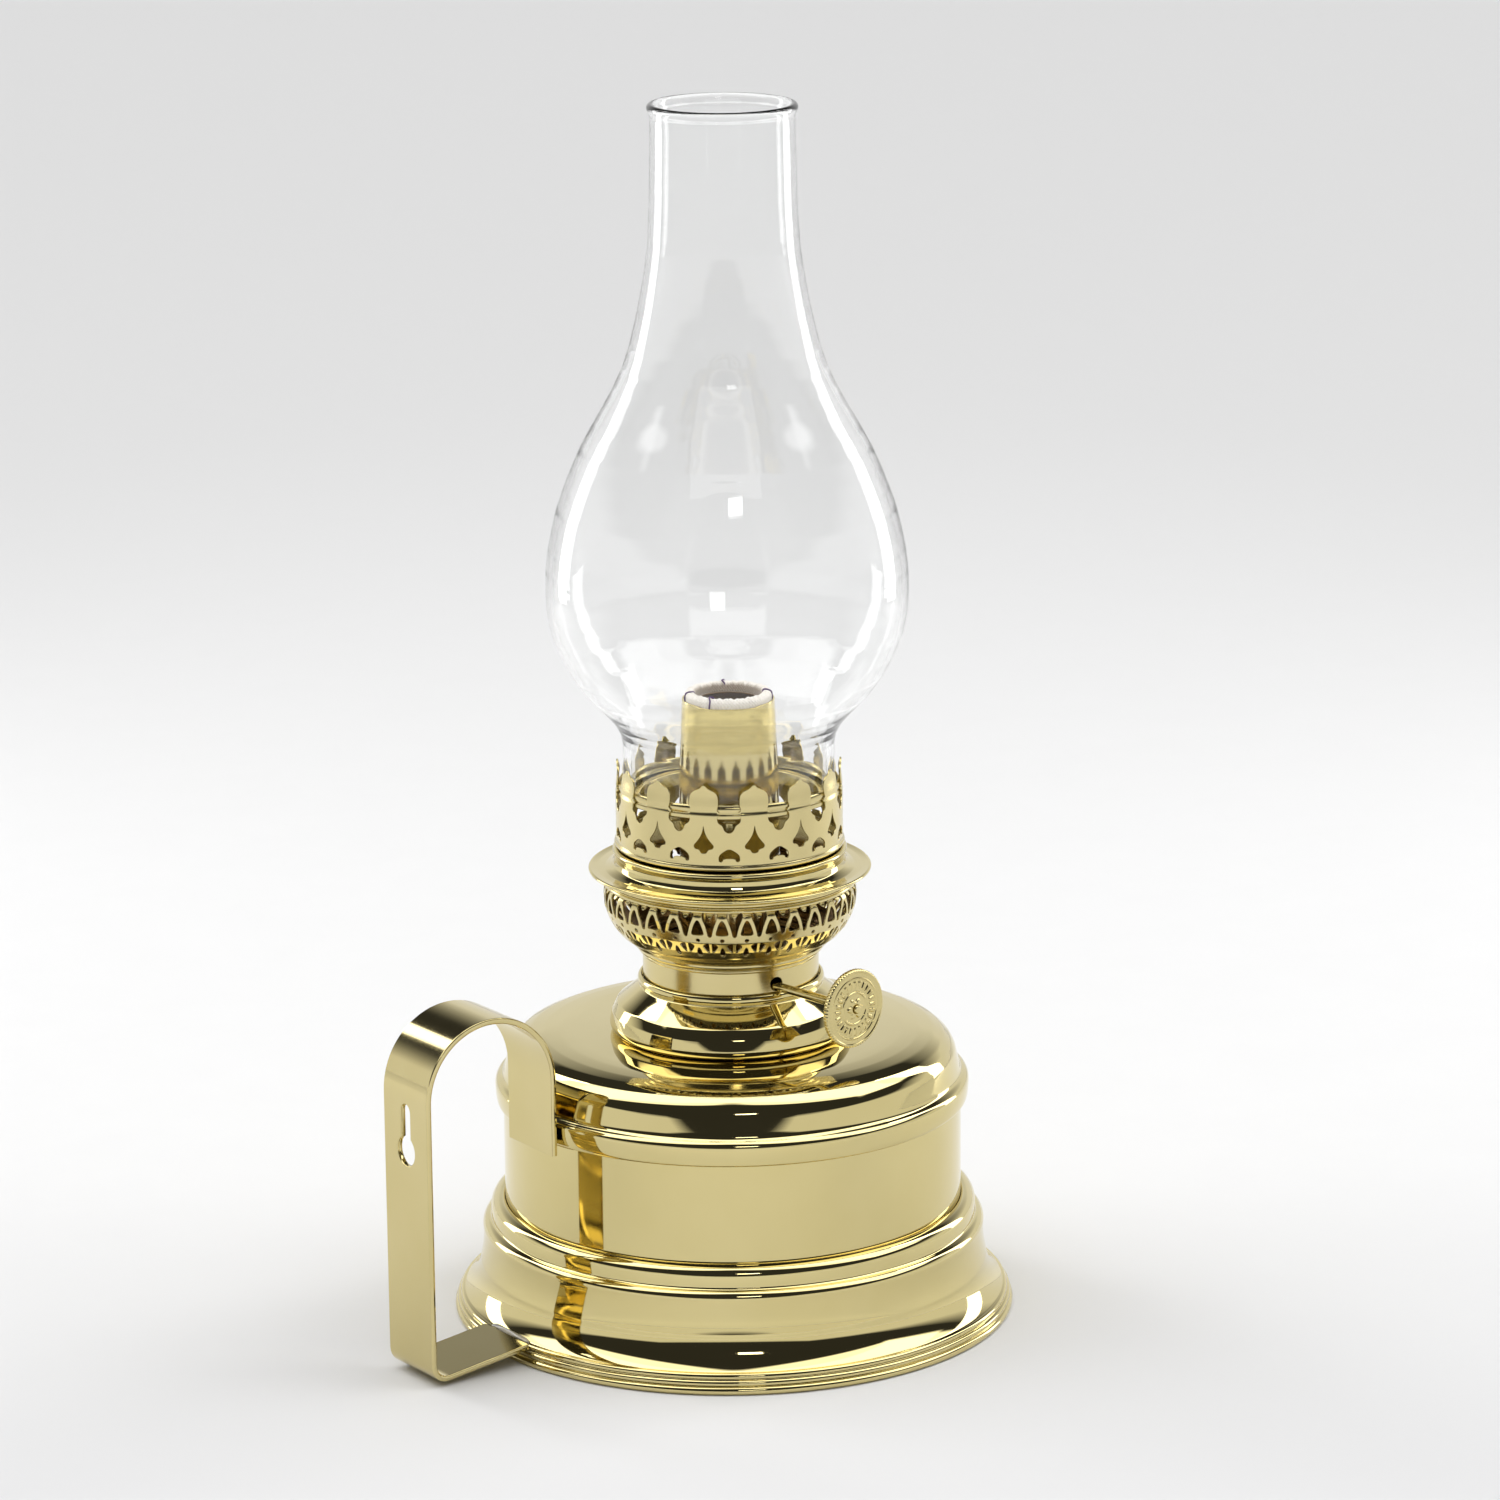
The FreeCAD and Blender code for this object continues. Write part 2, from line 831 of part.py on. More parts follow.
def wick():
    """The cotton wick: a tube with a slit for the air duct and the shaft, and two tails."""
    wide = size("wick_outer")
    narrow = size("wick_inner")
    top = size("wick_top")
    low = size("wick_tail")
    side = size("duct_side")
    body = turned("wick", [
        (wide, low),
        (wide, top - 0.6),
        (wide - 0.6, top),
        (narrow + 0.6, top),
        (narrow, top - 0.6),
        (narrow, low),
    ])
    half = size("duct_half") + 1.0
    slit = [
        (half - side, low - 1.0),
        (half - side, size("duct_high") + 11.0),
        (-half - side, size("duct_high") + 11.0),
        (-half - side, low - 1.0),
    ]
    pocket(body, "wick_slit", [slit], 20.0)
    gap = [
        (6.0, low - 1.0),
        (6.0, size("tube_bottom") - 4.0),
        (-6.0, size("tube_bottom") - 4.0),
        (-6.0, low - 1.0),
    ]
    pocket(body, "wick_tails", [gap], 40.0, lift=-20.0)
    return body


# ---------------------------------------------------------------- crown and chimney

def gallery_crown():
    wide = size("crown_radius")
    low = size("crown_bottom")
    crease = size("crown_crease")
    pinch = size("crown_pinch")
    top = size("crown_top")
    thick = size("crown_sheet")
    body = turned("gallery_crown", [
        (wide - 0.65, low),
        (wide - 0.65, low + 5.7),
        (wide, low + 5.8),
        (wide + 0.55, low + 6.7, "arc"),
        (wide, low + 7.8),
        (wide, crease),
        (pinch, crease + 3.9, "arc"),
        (pinch + 0.5, top),
        (pinch + 0.5 - thick, top),
        (pinch - thick, crease + 3.9, "arc"),
        (wide - thick, crease),
        (wide - thick, low + 7.4),
        (wide - 0.65 - thick, low + 6.4),
        (wide - 0.65 - thick, low),
    ])
    gap = mirrored_outline([
        (6.3, top + 0.4),
        (5.2, top - 1.4),
        (3.5, top - 3.2),
        (2.8, crease + 1.0),
        (2.6, crease),
        (3.0, crease - 1.3),
        (1.9, crease - 3.2),
        (0.6, crease - 4.2),
    ])
    roof = mirrored_outline([
        (0.0, low + 11.9),
        (2.5, low + 10.0),
        (2.5, low + 8.5),
        (1.7, low + 8.5),
        (1.5, low + 9.4),
    ])
    bell = mirrored_outline([
        (0.0, crease - 3.0),
        (0.6, crease - 5.0),
        (1.4, crease - 6.6),
        (2.5, crease - 8.0),
        (2.1, crease - 9.0),
        (0.8, crease - 9.6),
        (0.0, crease - 10.3),
    ])
    cuts = [
        pocket(body, "crown_gap", [gap, roof], 40.0, turn=CROWN_TURN),
        pocket(body, "crown_bell", [bell], 40.0, turn=CROWN_TURN + 180.0 / PRONGS),
    ]
    around(body, "crown_pattern", cuts, PRONGS)
    return body


def crown_shelf():
    """The ring inside the crown on which the chimney's rim rests."""
    outer = size("crown_radius") - size("crown_sheet") - size("fit")
    bore = size("shelf_bore")
    top = size("shelf_top")
    return turned("crown_shelf", [
        (bore, top - 3.0),
        (bore + 0.6, top - 3.0),
        (bore + 1.4, top - 0.6),
        (outer - 0.6, top - 0.6),
        (outer - 0.6, top - 2.6),
        (outer, top - 2.6),
        (outer, top),
        (bore + 1.0, top),
    ])


def chimney_glass():
    fitter = size("glass_fitter")
    bulb = size("glass_bulb")
    neck = size("glass_neck")
    low = size("glass_bottom")
    top = size("glass_top")
    wall = size("glass_wall")
    outer = [
        (fitter, low + 13.5),
        (fitter + 1.6, low + 16.5, "arc"),
        (fitter + 5.0, low + 21.1),
        (bulb - 6.7, low + 28.5, "arc"),
        (bulb - 2.1, low + 38.0),
        (bulb, low + 49.0, "arc"),
        (bulb - 1.1, low + 63.0),
        (bulb - 4.4, low + 75.7, "arc"),
        (bulb - 9.7, low + 87.3),
        (neck + 7.8, low + 103.5, "arc"),
        (neck + 2.8, low + 119.9),
        (neck + 1.0, low + 129.5, "arc"),
        (neck + 0.3, low + 139.5),
        (neck, top - 0.5),
    ]
    inner = [(point[0] - wall,) + point[1:] for point in reversed(outer[:-1])]
    return turned("chimney_glass", [(fitter - 0.4, low), (fitter, low + 0.4)] + outer + [
        (neck - 0.5, top),
        (neck - wall + 0.5, top),
        (neck - wall, top - 0.5),
    ] + inner + [(fitter - wall, low + 0.4), (fitter - wall + 0.4, low)])


# ---------------------------------------------------------------- solder

def solder(name, place, extent, cutters):
    """A bead of solder: a block cut back by the pieces that it joins."""
    block = doc.addObject("Part::Box", name + "_block")
    for prop, length in zip(("Length", "Width", "Height"), extent):
        bind(block, prop, length)
    for prop, length in zip("xyz", place):
        block.setExpression("Placement.Base." + prop, length.text)
    result = block
    for index, cutter in enumerate(cutters):
        cut = doc.addObject("Part::Cut", "%s_cut_%d" % (name, index))
        cut.Base = result
        cut.Tool = cutter
        result = cut
    result.Label = name
    doc.recompute()
    return result


def solder_top(cover, wall):
    width = size("solder_top_width")
    lip = size("lip_bottom")
    back = size("strap_back")
    place = (-back, -(width * 0.5), lip + 0.6)
    return solder("handle_solder_top", place, (1.6, width, 3.4), [cover, wall])


def solder_foot(skirt):
    width = size("solder_foot_width")
    foot = size("strap_foot")
    level = size("strap_low") + size("strap_rise")
    place = (-foot, -(width * 0.5), level)
    return solder("handle_solder_foot", place, (1.7, width, 2.1), [skirt])


# ---------------------------------------------------------------- build and write

cover = tank_cover()
wall = tank_wall()
skirt = base_skirt()
pieces = [
    skirt,
    wall,
    tank_bottom(),
    cover,
    collar(),
    collar_bush(),
    handle_strap(),
    solder_top(cover, wall),
    solder_foot(skirt),
    burner_thread(),
    burner_seal(),
    burner_band(),
    burner_basket(),
    flange_ring(),
    seat_ring(),
    burner_floor(),
    outer_wick_tube(),
    inner_air_tube(),
    air_duct(),
    raiser_bracket(),
    wick_shaft(),
    wick_wheel(),
    wick_knob(),
    wick(),
    gallery_crown(),
    crown_shelf(),
    chimney_glass(),
]
doc.recompute()

failed = [item.Name for item in doc.Objects if "Invalid" in item.State or "Error" in item.State]
if failed:
    raise ValueError("these objects failed: " + ", ".join(failed))
for piece in pieces:
    if piece.Shape.isNull() or not piece.Shape.isValid() or not piece.Shape.Solids:
        raise ValueError(piece.Label + " has no valid solid")

os.makedirs("parts", exist_ok=True)
for piece in pieces:
    piece.Shape.exportStep("parts/%s.step" % piece.Label)
    print("%-20s %d solid %9.1f mm3" % (piece.Label, len(piece.Shape.Solids), piece.Shape.Volume))
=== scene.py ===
"""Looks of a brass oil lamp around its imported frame.

Lengths are millimetres until a mesh is made, which is in metres.  +Z is up along the lamp's
axis, the handle is on -X and the wick knob on -Y.
"""
import json
from math import acos, asin, atan2, ceil, copysign, cos, degrees, hypot, pi, radians, sin, sqrt
import random
import bpy
import numpy as np
from mathutils import Matrix, Vector
from mathutils.geometry import delaunay_2d_cdt


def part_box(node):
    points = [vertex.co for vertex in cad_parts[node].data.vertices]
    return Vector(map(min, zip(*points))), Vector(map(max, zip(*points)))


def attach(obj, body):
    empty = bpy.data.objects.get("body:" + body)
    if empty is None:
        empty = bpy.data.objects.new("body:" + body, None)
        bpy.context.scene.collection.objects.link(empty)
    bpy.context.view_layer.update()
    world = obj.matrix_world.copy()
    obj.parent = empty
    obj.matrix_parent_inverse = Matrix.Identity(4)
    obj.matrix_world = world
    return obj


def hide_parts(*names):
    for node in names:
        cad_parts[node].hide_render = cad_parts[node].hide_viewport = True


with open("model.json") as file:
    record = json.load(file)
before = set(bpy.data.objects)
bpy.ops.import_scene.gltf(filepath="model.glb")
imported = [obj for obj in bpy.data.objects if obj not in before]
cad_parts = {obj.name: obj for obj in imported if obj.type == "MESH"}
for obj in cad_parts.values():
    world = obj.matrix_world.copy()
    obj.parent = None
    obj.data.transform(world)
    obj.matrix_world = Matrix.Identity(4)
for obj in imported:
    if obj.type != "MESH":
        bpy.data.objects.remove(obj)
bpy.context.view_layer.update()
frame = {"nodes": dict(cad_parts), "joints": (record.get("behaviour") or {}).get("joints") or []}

MM = 0.001
TAU = 2 * pi
SEGMENTS = 288
DENSE = 0.1              # spacing of the points that an outline is smoothed on


# ------ camera

CAMERA_PLACE = (-0.8316, -1.1620, 0.5112)
CAMERA_HEADING = radians(35.8)     # from +Y towards +X
CAMERA_PITCH = radians(14.473)     # below the horizon
CAMERA_ROLL = radians(0.525)
CAMERA_LENS = 144.13


def add_object(name, data):
    thing = bpy.data.objects.new(name, data)
    bpy.context.scene.collection.objects.link(thing)
    return thing


def camera_axes():
    """The camera's right and the way it looks, both level."""
    right = Vector((cos(CAMERA_HEADING), -sin(CAMERA_HEADING), 0))
    away = Vector((sin(CAMERA_HEADING), cos(CAMERA_HEADING), 0))
    return right, away


def make_camera():
    right, away = camera_axes()
    forward = away * cos(CAMERA_PITCH) - Vector((0, 0, sin(CAMERA_PITCH)))
    up = right.cross(forward)
    tilted_right = right * cos(CAMERA_ROLL) - up * sin(CAMERA_ROLL)
    tilted_up = up * cos(CAMERA_ROLL) + right * sin(CAMERA_ROLL)
    turn = Matrix((tilted_right, tilted_up, -forward)).transposed().to_4x4()
    camera = add_object("camera", bpy.data.cameras.new("camera"))
    camera.matrix_world = Matrix.Translation(CAMERA_PLACE) @ turn
    camera.data.lens = CAMERA_LENS
    camera.data.sensor_width = 36
    camera.data.clip_end = 60
    bpy.context.scene.camera = camera


make_camera()
bpy.context.scene.view_settings.view_transform = "Standard"


# ------ node helpers

class Nodes:
    """Adds nodes to a tree and links them."""

    def __init__(self, tree):
        self.tree = tree
        tree.nodes.clear()

    def add(self, kind, values=(), **settings):
        node = self.tree.nodes.new("ShaderNode" + kind)
        for key, value in settings.items():
            setattr(node, key, value)
        for key, value in dict(values).items():
            if isinstance(value, bpy.types.NodeSocket):
                self.tree.links.new(value, node.inputs[key])
            else:
                node.inputs[key].default_value = value
        return node

    def math(self, operation, *values):
        return self.add("Math", dict(enumerate(values)), operation=operation).outputs[0]

    def spot(self):
        """Where a point lies in its object: the lamp's axis is x = y = 0."""
        return self.add("TexCoord").outputs["Object"]

    def dot(self, first, second):
        return self.add("VectorMath", {0: first, 1: second}, operation="DOT_PRODUCT").outputs["Value"]

    def radius(self, split):
        """Distance from the axis, from separated coordinates."""
        squares = [self.math("MULTIPLY", split.outputs[axis], split.outputs[axis]) for axis in (0, 1)]
        return self.math("SQRT", self.math("ADD", *squares))

    def product(self, first, *others):
        for other in others:
            first = self.math("MULTIPLY", first, other)
        return first

    def window(self, value, centre, reach):
        """1 within a reach of a centre and 0 beyond it, with a narrow fade."""
        gone = self.math("ABSOLUTE", self.math("SUBTRACT", value, centre))
        return self.spread(gone, 1.0, 0.0, reach, reach + 0.005)

    def noise(self, vector, scale, detail, roughness):
        values = {"Vector": vector, "Scale": scale, "Detail": detail, "Roughness": roughness}
        return self.add("TexNoise", values).outputs["Fac"]

    def spread(self, value, low, high, start=0.0, stop=1.0):
        values = {"Value": value, "From Min": start, "From Max": stop, "To Min": low, "To Max": high}
        return self.add("MapRange", values).outputs["Result"]

    def blend(self, factor, first, second):
        """A colour between two, each three numbers or a socket."""
        ends = [end if isinstance(end, bpy.types.NodeSocket) else (*end, 1) for end in (first, second)]
        return self.add("Mix", {0: factor, 6: ends[0], 7: ends[1]}, data_type="RGBA").outputs[2]

    def bump(self, height, strength, distance):
        values = {"Height": height, "Strength": strength, "Distance": distance}
        return self.add("Bump", values).outputs["Normal"]


def new_material(name):
    material = bpy.data.materials.new(name)
    material.use_nodes = True
    return material, Nodes(material.node_tree)


def finish_material(material, nodes, values):
    shader = nodes.add("BsdfPrincipled", values)
    nodes.add("OutputMaterial", {"Surface": shader.outputs[0]})
    return material


# ------ materials

def brass(name, deep, pale, polish, lines, line_scale, strength, along=False, inner_shade=None):
    """Brass with lines round the axis, or along the strap, and a faint clouding of its polish.
    The last argument, when given, is painted shade: the colour of the faces that look towards the axis."""
    material, nodes = new_material(name)
    place = nodes.add("TexCoord")
    if along:
        stretch = nodes.add("Mapping", {"Vector": place.outputs["UV"], "Scale": (1.0, 0.02, 1.0)})
        grain = stretch.outputs[0]
    else:
        split = nodes.add("SeparateXYZ", {0: place.outputs["Object"]})
        grain = nodes.add("CombineXYZ", {0: nodes.radius(split), 2: split.outputs[2]}).outputs[0]
    streak = nodes.noise(grain, line_scale, 3.0, 0.6)
    cloud = nodes.noise(place.outputs["Object"], 34.0, 3.0, 0.55)
    speck = nodes.noise(place.outputs["Object"], 900.0, 2.0, 0.6)
    colour = nodes.blend(nodes.spread(cloud, 0.0, 1.0, 0.3, 0.7), deep, pale)
    # Painted shade: faces that look towards the axis are blended to the dark colour.
    if inner_shade:
        values = {0: place.outputs["Object"], 1: (1.0, 1.0, 0.0)}
        level = nodes.add("VectorMath", values, operation="MULTIPLY").outputs["Vector"]
        outward = nodes.dot(level, place.outputs["Normal"])
        colour = nodes.blend(nodes.spread(outward, 1.0, 0.0, -0.010, -0.004), colour, inner_shade)
    from_cloud = nodes.math("MULTIPLY", cloud, 1.0 - lines)
    mixed = nodes.math("ADD", nodes.math("MULTIPLY", streak, lines), from_cloud)
    height = nodes.math("ADD", streak, nodes.math("MULTIPLY", speck, 0.2))
    return finish_material(material, nodes, {
        "Base Color": colour,
        "Metallic": 1.0,
        "Roughness": nodes.spread(mixed, polish[0], polish[1], 0.25, 0.75),
        "Normal": nodes.bump(height, strength, 0.00002),
    })


def grained(name, scale, detail, dark, pale, rough, strength, distance, metallic=0.0):
    """One fine grain in the colour, the roughness and the surface."""
    material, nodes = new_material(name)
    grain = nodes.noise(nodes.spot(), scale, detail, 0.6)
    return finish_material(material, nodes, {
        "Base Color": nodes.blend(grain, dark, pale),
        "Metallic": metallic,
        "Roughness": nodes.spread(grain, *rough),
        "Normal": nodes.bump(grain, strength, distance),
    })


def chimney_clear():
    material, nodes = new_material("chimney_clear")
    ripple = nodes.noise(nodes.spot(), 22.0, 1.0, 0.4)
    return finish_material(material, nodes, {
        "Base Color": nodes.blend(ripple, (0.985, 0.99, 0.988), (1.0, 1.0, 1.0)),
        "Roughness": 0.0,
        "IOR": 1.47,
        "Transmission Weight": 1.0,
        "Normal": nodes.bump(ripple, 0.12, 0.0015),
    })


COTTON_RIBS = 78


def wick_cotton():
    """Off-white woven cotton: ribs round the tube and along it, with painted shade in brown on the inside."""
    material, nodes = new_material("wick_cotton")
    place = nodes.spot()
    split = nodes.add("SeparateXYZ", {0: place})
    angle = nodes.math("ARCTAN2", split.outputs[1], split.outputs[0])
    ribs = nodes.math("SINE", nodes.math("MULTIPLY", angle, COTTON_RIBS))
    rows = nodes.math("SINE", nodes.math("MULTIPLY", split.outputs[2], 7400.0))
    weave = nodes.math("MULTIPLY", ribs, rows)
    fuzz = nodes.noise(place, 2600.0, 4.0, 0.7)
    # Painted shade: the wick's inner face, near the axis, is brown.
    inside = nodes.spread(nodes.radius(split), 1.0, 0.0, 0.0080, 0.0088)
    white = nodes.blend(fuzz, (0.72, 0.66, 0.56), (0.90, 0.87, 0.82))
    shade_brown = nodes.blend(fuzz, (0.14, 0.085, 0.035), (0.34, 0.24, 0.13))
    height = nodes.math("ADD", nodes.math("MULTIPLY", weave, 0.5), fuzz)
    return finish_material(material, nodes, {
        "Base Color": nodes.blend(inside, white, shade_brown),
        "Roughness": nodes.spread(fuzz, 0.85, 1.0),
        "Sheen Weight": 0.3,
        "Normal": nodes.bump(height, 0.7, 0.00015),
    })


MIRROR_BRASS = brass("mirror_brass", (0.665, 0.565, 0.265), (0.70, 0.60, 0.295), (0.025, 0.06), 0.3, 2600.0,
                     0.02)
SATIN_BRASS = brass("satin_brass", (0.64, 0.54, 0.26), (0.70, 0.60, 0.31), (0.14, 0.26), 0.6, 2600.0, 0.16)
# The basket's inward faces carry painted shade, a dark brown.
BASKET_BRASS = brass("basket_brass", (0.64, 0.54, 0.26), (0.70, 0.60, 0.31), (0.12, 0.22), 0.6, 2600.0, 0.16,
                     inner_shade=(0.16, 0.095, 0.035))
TURNED_BRASS = brass("turned_brass", (0.64, 0.54, 0.25), (0.69, 0.585, 0.285), (0.09, 0.2), 0.8, 2200.0, 0.3)
STRAP_BRASS = brass("strap_brass", (0.65, 0.55, 0.26), (0.69, 0.59, 0.30), (0.06, 0.13), 0.7, 900.0, 0.12,
                    along=True)
# Painted shade: parts deep inside the burner are coloured dark brown for the shade that falls there.
SHADE_BRASS = brass("shade_brass", (0.20, 0.12, 0.045), (0.30, 0.20, 0.08), (0.25, 0.45), 0.5, 2000.0, 0.3)
SOLDER = grained("solder_grey", 600.0, 4.0, (0.30, 0.29, 0.27), (0.58, 0.56, 0.52), (0.3, 0.6), 0.5, 0.0002,
                 metallic=0.9)
RUBBER = grained("washer_rubber", 1500.0, 3.0, (0.018, 0.016, 0.015), (0.04, 0.037, 0.034), (0.6, 0.85), 0.3,
                 0.0001)
GLASS = chimney_clear()
COTTON = wick_cotton()
THREAD = grained("stitch_thread", 4200.0, 2.0, (0.045, 0.012, 0.075), (0.10, 0.035, 0.15), (0.7, 0.9), 0.5,
                 0.0001)


# ------ outlines

def arc_points(start, middle, stop):
    """Points after start, up to stop, on the circle through three points."""
    (ax, ay), (bx, by), (cx, cy) = start, middle, stop
    scale = 2 * (ax * (by - cy) + bx * (cy - ay) + cx * (ay - by))
    if abs(scale) < 1e-9:
        return [stop]
    a, b, c = ax * ax + ay * ay, bx * bx + by * by, cx * cx + cy * cy
    x = (a * (by - cy) + b * (cy - ay) + c * (ay - by)) / scale
    y = (a * (cx - bx) + b * (ax - cx) + c * (bx - ax)) / scale
    radius = hypot(ax - x, ay - y)
    first = atan2(ay - y, ax - x)
    sweep = (atan2(cy - y, cx - x) - first) % TAU
    part = (atan2(by - y, bx - x) - first) % TAU
    if part > sweep:
        sweep -= TAU
    steps = max(4, ceil(abs(sweep) * radius / 0.4))
    turns = [first + sweep * step / steps for step in range(1, steps + 1)]
    return [(x + radius * cos(turn), y + radius * sin(turn)) for turn in turns]


def trace(points, closed):
    """An outline's own points.  (x, y) is a corner; (x, y, "arc") lies on the arc between
    the corners before and after it."""
    corners = [point for point in points if len(point) == 2]
    middles = {}
    count = 0
    for point in points:
        if len(point) == 3:
            middles[count - 1] = point[:2]
        else:
            count += 1
    line = [corners[0]]
    last = len(corners) if closed else len(corners) - 1
    for index in range(last):
        stop = corners[(index + 1) % len(corners)]
        if index in middles:
            line += arc_points(corners[index], middles[index], stop)
        else:
            line.append(stop)
    return line


class Curve:
    """A smoothed outline with its normals, measured along its length."""

    def __init__(self, points, closed=True, soft=0.15):
        line = np.array(trace(points, closed), float)
        steps = np.hypot(*np.diff(line, axis=0).T)
        line = line[np.concatenate([[True], steps > 1e-7])]
        along = np.concatenate([[0], np.cumsum(np.hypot(*np.diff(line, axis=0).T))])
        count = max(8, int(along[-1] / DENSE))
        places = np.linspace(0, along[-1], count + 1)
        dense = np.column_stack([np.interp(places, along, line[:, axis]) for axis in (0, 1)])
        reach = max(1, int(4 * soft / DENSE))
        offsets = np.arange(-reach, reach + 1) * DENSE
        weights = np.exp(-0.5 * (offsets / soft) ** 2)
        weights /= weights.sum()
        if closed:
            dense = dense[:-1]
            wrapped = np.concatenate([dense[-reach:], dense, dense[:reach]])
        else:
            before = 2 * dense[0] - dense[reach:0:-1]
            after = 2 * dense[-1] - dense[-2:-reach - 2:-1]
            wrapped = np.concatenate([before, dense, after])
        smooth = np.column_stack([np.convolve(wrapped[:, axis], weights, "valid") for axis in (0, 1)])
        self.points = np.vstack([smooth, smooth[:1]]) if closed else smooth
        self.closed = closed
        self.along = np.concatenate([[0], np.cumsum(np.hypot(*np.diff(self.points, axis=0).T))])
        slope = np.gradient(self.points, axis=0)
        if closed:
            slope[0] = slope[-1] = self.points[1] - self.points[-2]
        slope /= np.linalg.norm(slope, axis=1)[:, None]
        x, y = self.points[:, 0], self.points[:, 1]
        self.clockwise = closed and np.sum(x[:-1] * y[1:] - x[1:] * y[:-1]) < 0
        self.normals = np.column_stack([slope[:, 1], -slope[:, 0]]) * (-1 if self.clockwise else 1)
        self.slope = slope

    def thinned(self, turn=3.0, longest=3.0):
        """Indices of the points that carry the shape."""
        kept = [0]
        for index in range(1, len(self.points) - 1):
            ahead = self.slope[index] @ self.slope[kept[-1]]
            gone = self.along[index] - self.along[kept[-1]]
            if degrees(acos(min(1.0, max(-1.0, ahead)))) > turn or gone > longest:
                kept.append(index)
        return kept + ([] if self.closed else [len(self.points) - 1])

    def at(self, length):
        """Point and normal at a length along the outline."""
        point = [np.interp(length, self.along, self.points[:, axis]) for axis in (0, 1)]
        normal = np.array([np.interp(length, self.along, self.normals[:, axis]) for axis in (0, 1)])
        return point, normal / np.linalg.norm(normal)

    def reach(self, height):
        """Length along a rising outline at which it reaches a height."""
        return float(np.interp(height, self.points[:, 1], self.along))


# ------ mesh helpers

def new_piece(node, suffix, points, faces, normals, material, body, uvs=None):
    """A piece of the lamp from points in millimetres, in the place of a CAD node."""
    name = node + "_" + suffix
    mesh = bpy.data.meshes.new(name)
    mesh.from_pydata((np.array(points) * MM).tolist(), [], faces)
    mesh.polygons.foreach_set("use_smooth", [True] * len(mesh.polygons))
    if uvs is not None:
        layer = mesh.uv_layers.new(name="along")
        spots = [uvs[loop.vertex_index] for loop in mesh.loops]
        layer.data.foreach_set("uv", np.array(spots, np.float32).ravel())
    mesh.update()
    if normals is not None:
        mesh.normals_split_custom_set_from_vertices(np.array(normals).tolist())
    mesh.materials.append(material)
    piece = add_object(name, mesh)
    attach(piece, body)
    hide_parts(node)
    return piece


def ring_faces(rows, columns, closed):
    """Faces between rows of points that each run once round; closed joins the last row to the first."""
    faces = []
    for row in range(rows if closed else rows - 1):
        below, above = row * columns, (row + 1) % rows * columns
        for step in range(columns):
            ahead = (step + 1) % columns
            faces.append((below + step, below + ahead, above + ahead, above + step))
    return faces


def lathe(node, suffix, outline, material, body, soft=0.15, segments=SEGMENTS, shape=None,
          place=None, turn=3.0, longest=3.0):
    """Turns a closed outline of (radius, height) points about Z.  shape(radius, height, angle)
    may move each point, and place is a matrix that puts the piece elsewhere."""
    curve = Curve(outline, True, soft)
    kept = curve.thinned(turn, longest)
    profile, slopes = curve.points[kept], curve.normals[kept]
    profile = np.column_stack([np.maximum(profile[:, 0], 0.0), profile[:, 1]])
    angles = np.arange(segments) * TAU / segments
    radius = np.repeat(profile[:, 0], segments)
    height = np.repeat(profile[:, 1], segments)
    around = np.tile(angles, len(profile))
    if shape:
        radius, height = shape(radius, height, around)
    points = np.column_stack([radius * np.cos(around), radius * np.sin(around), height])
    side, rise = np.repeat(slopes[:, 0], segments), np.repeat(slopes[:, 1], segments)
    normals = np.column_stack([side * np.cos(around), side * np.sin(around), rise])
    if place is not None:
        spot = np.array(place)
        points = points @ spot[:3, :3].T + spot[:3, 3]
        normals = normals @ spot[:3, :3].T
    faces = ring_faces(len(profile), segments, True)
    if curve.clockwise:
        faces = [face[::-1] for face in faces]
    return new_piece(node, suffix, points, faces, None if shape else normals, material, body)


def inside(point, outline):
    """True when a point lies within a closed outline."""
    x, y = point
    found = False
    for (ax, ay), (bx, by) in zip(outline, outline[1:] + outline[:1]):
        if (ay > y) != (by > y) and x < (bx - ax) * (y - ay) / (by - ay) + ax:
            found = not found
    return found


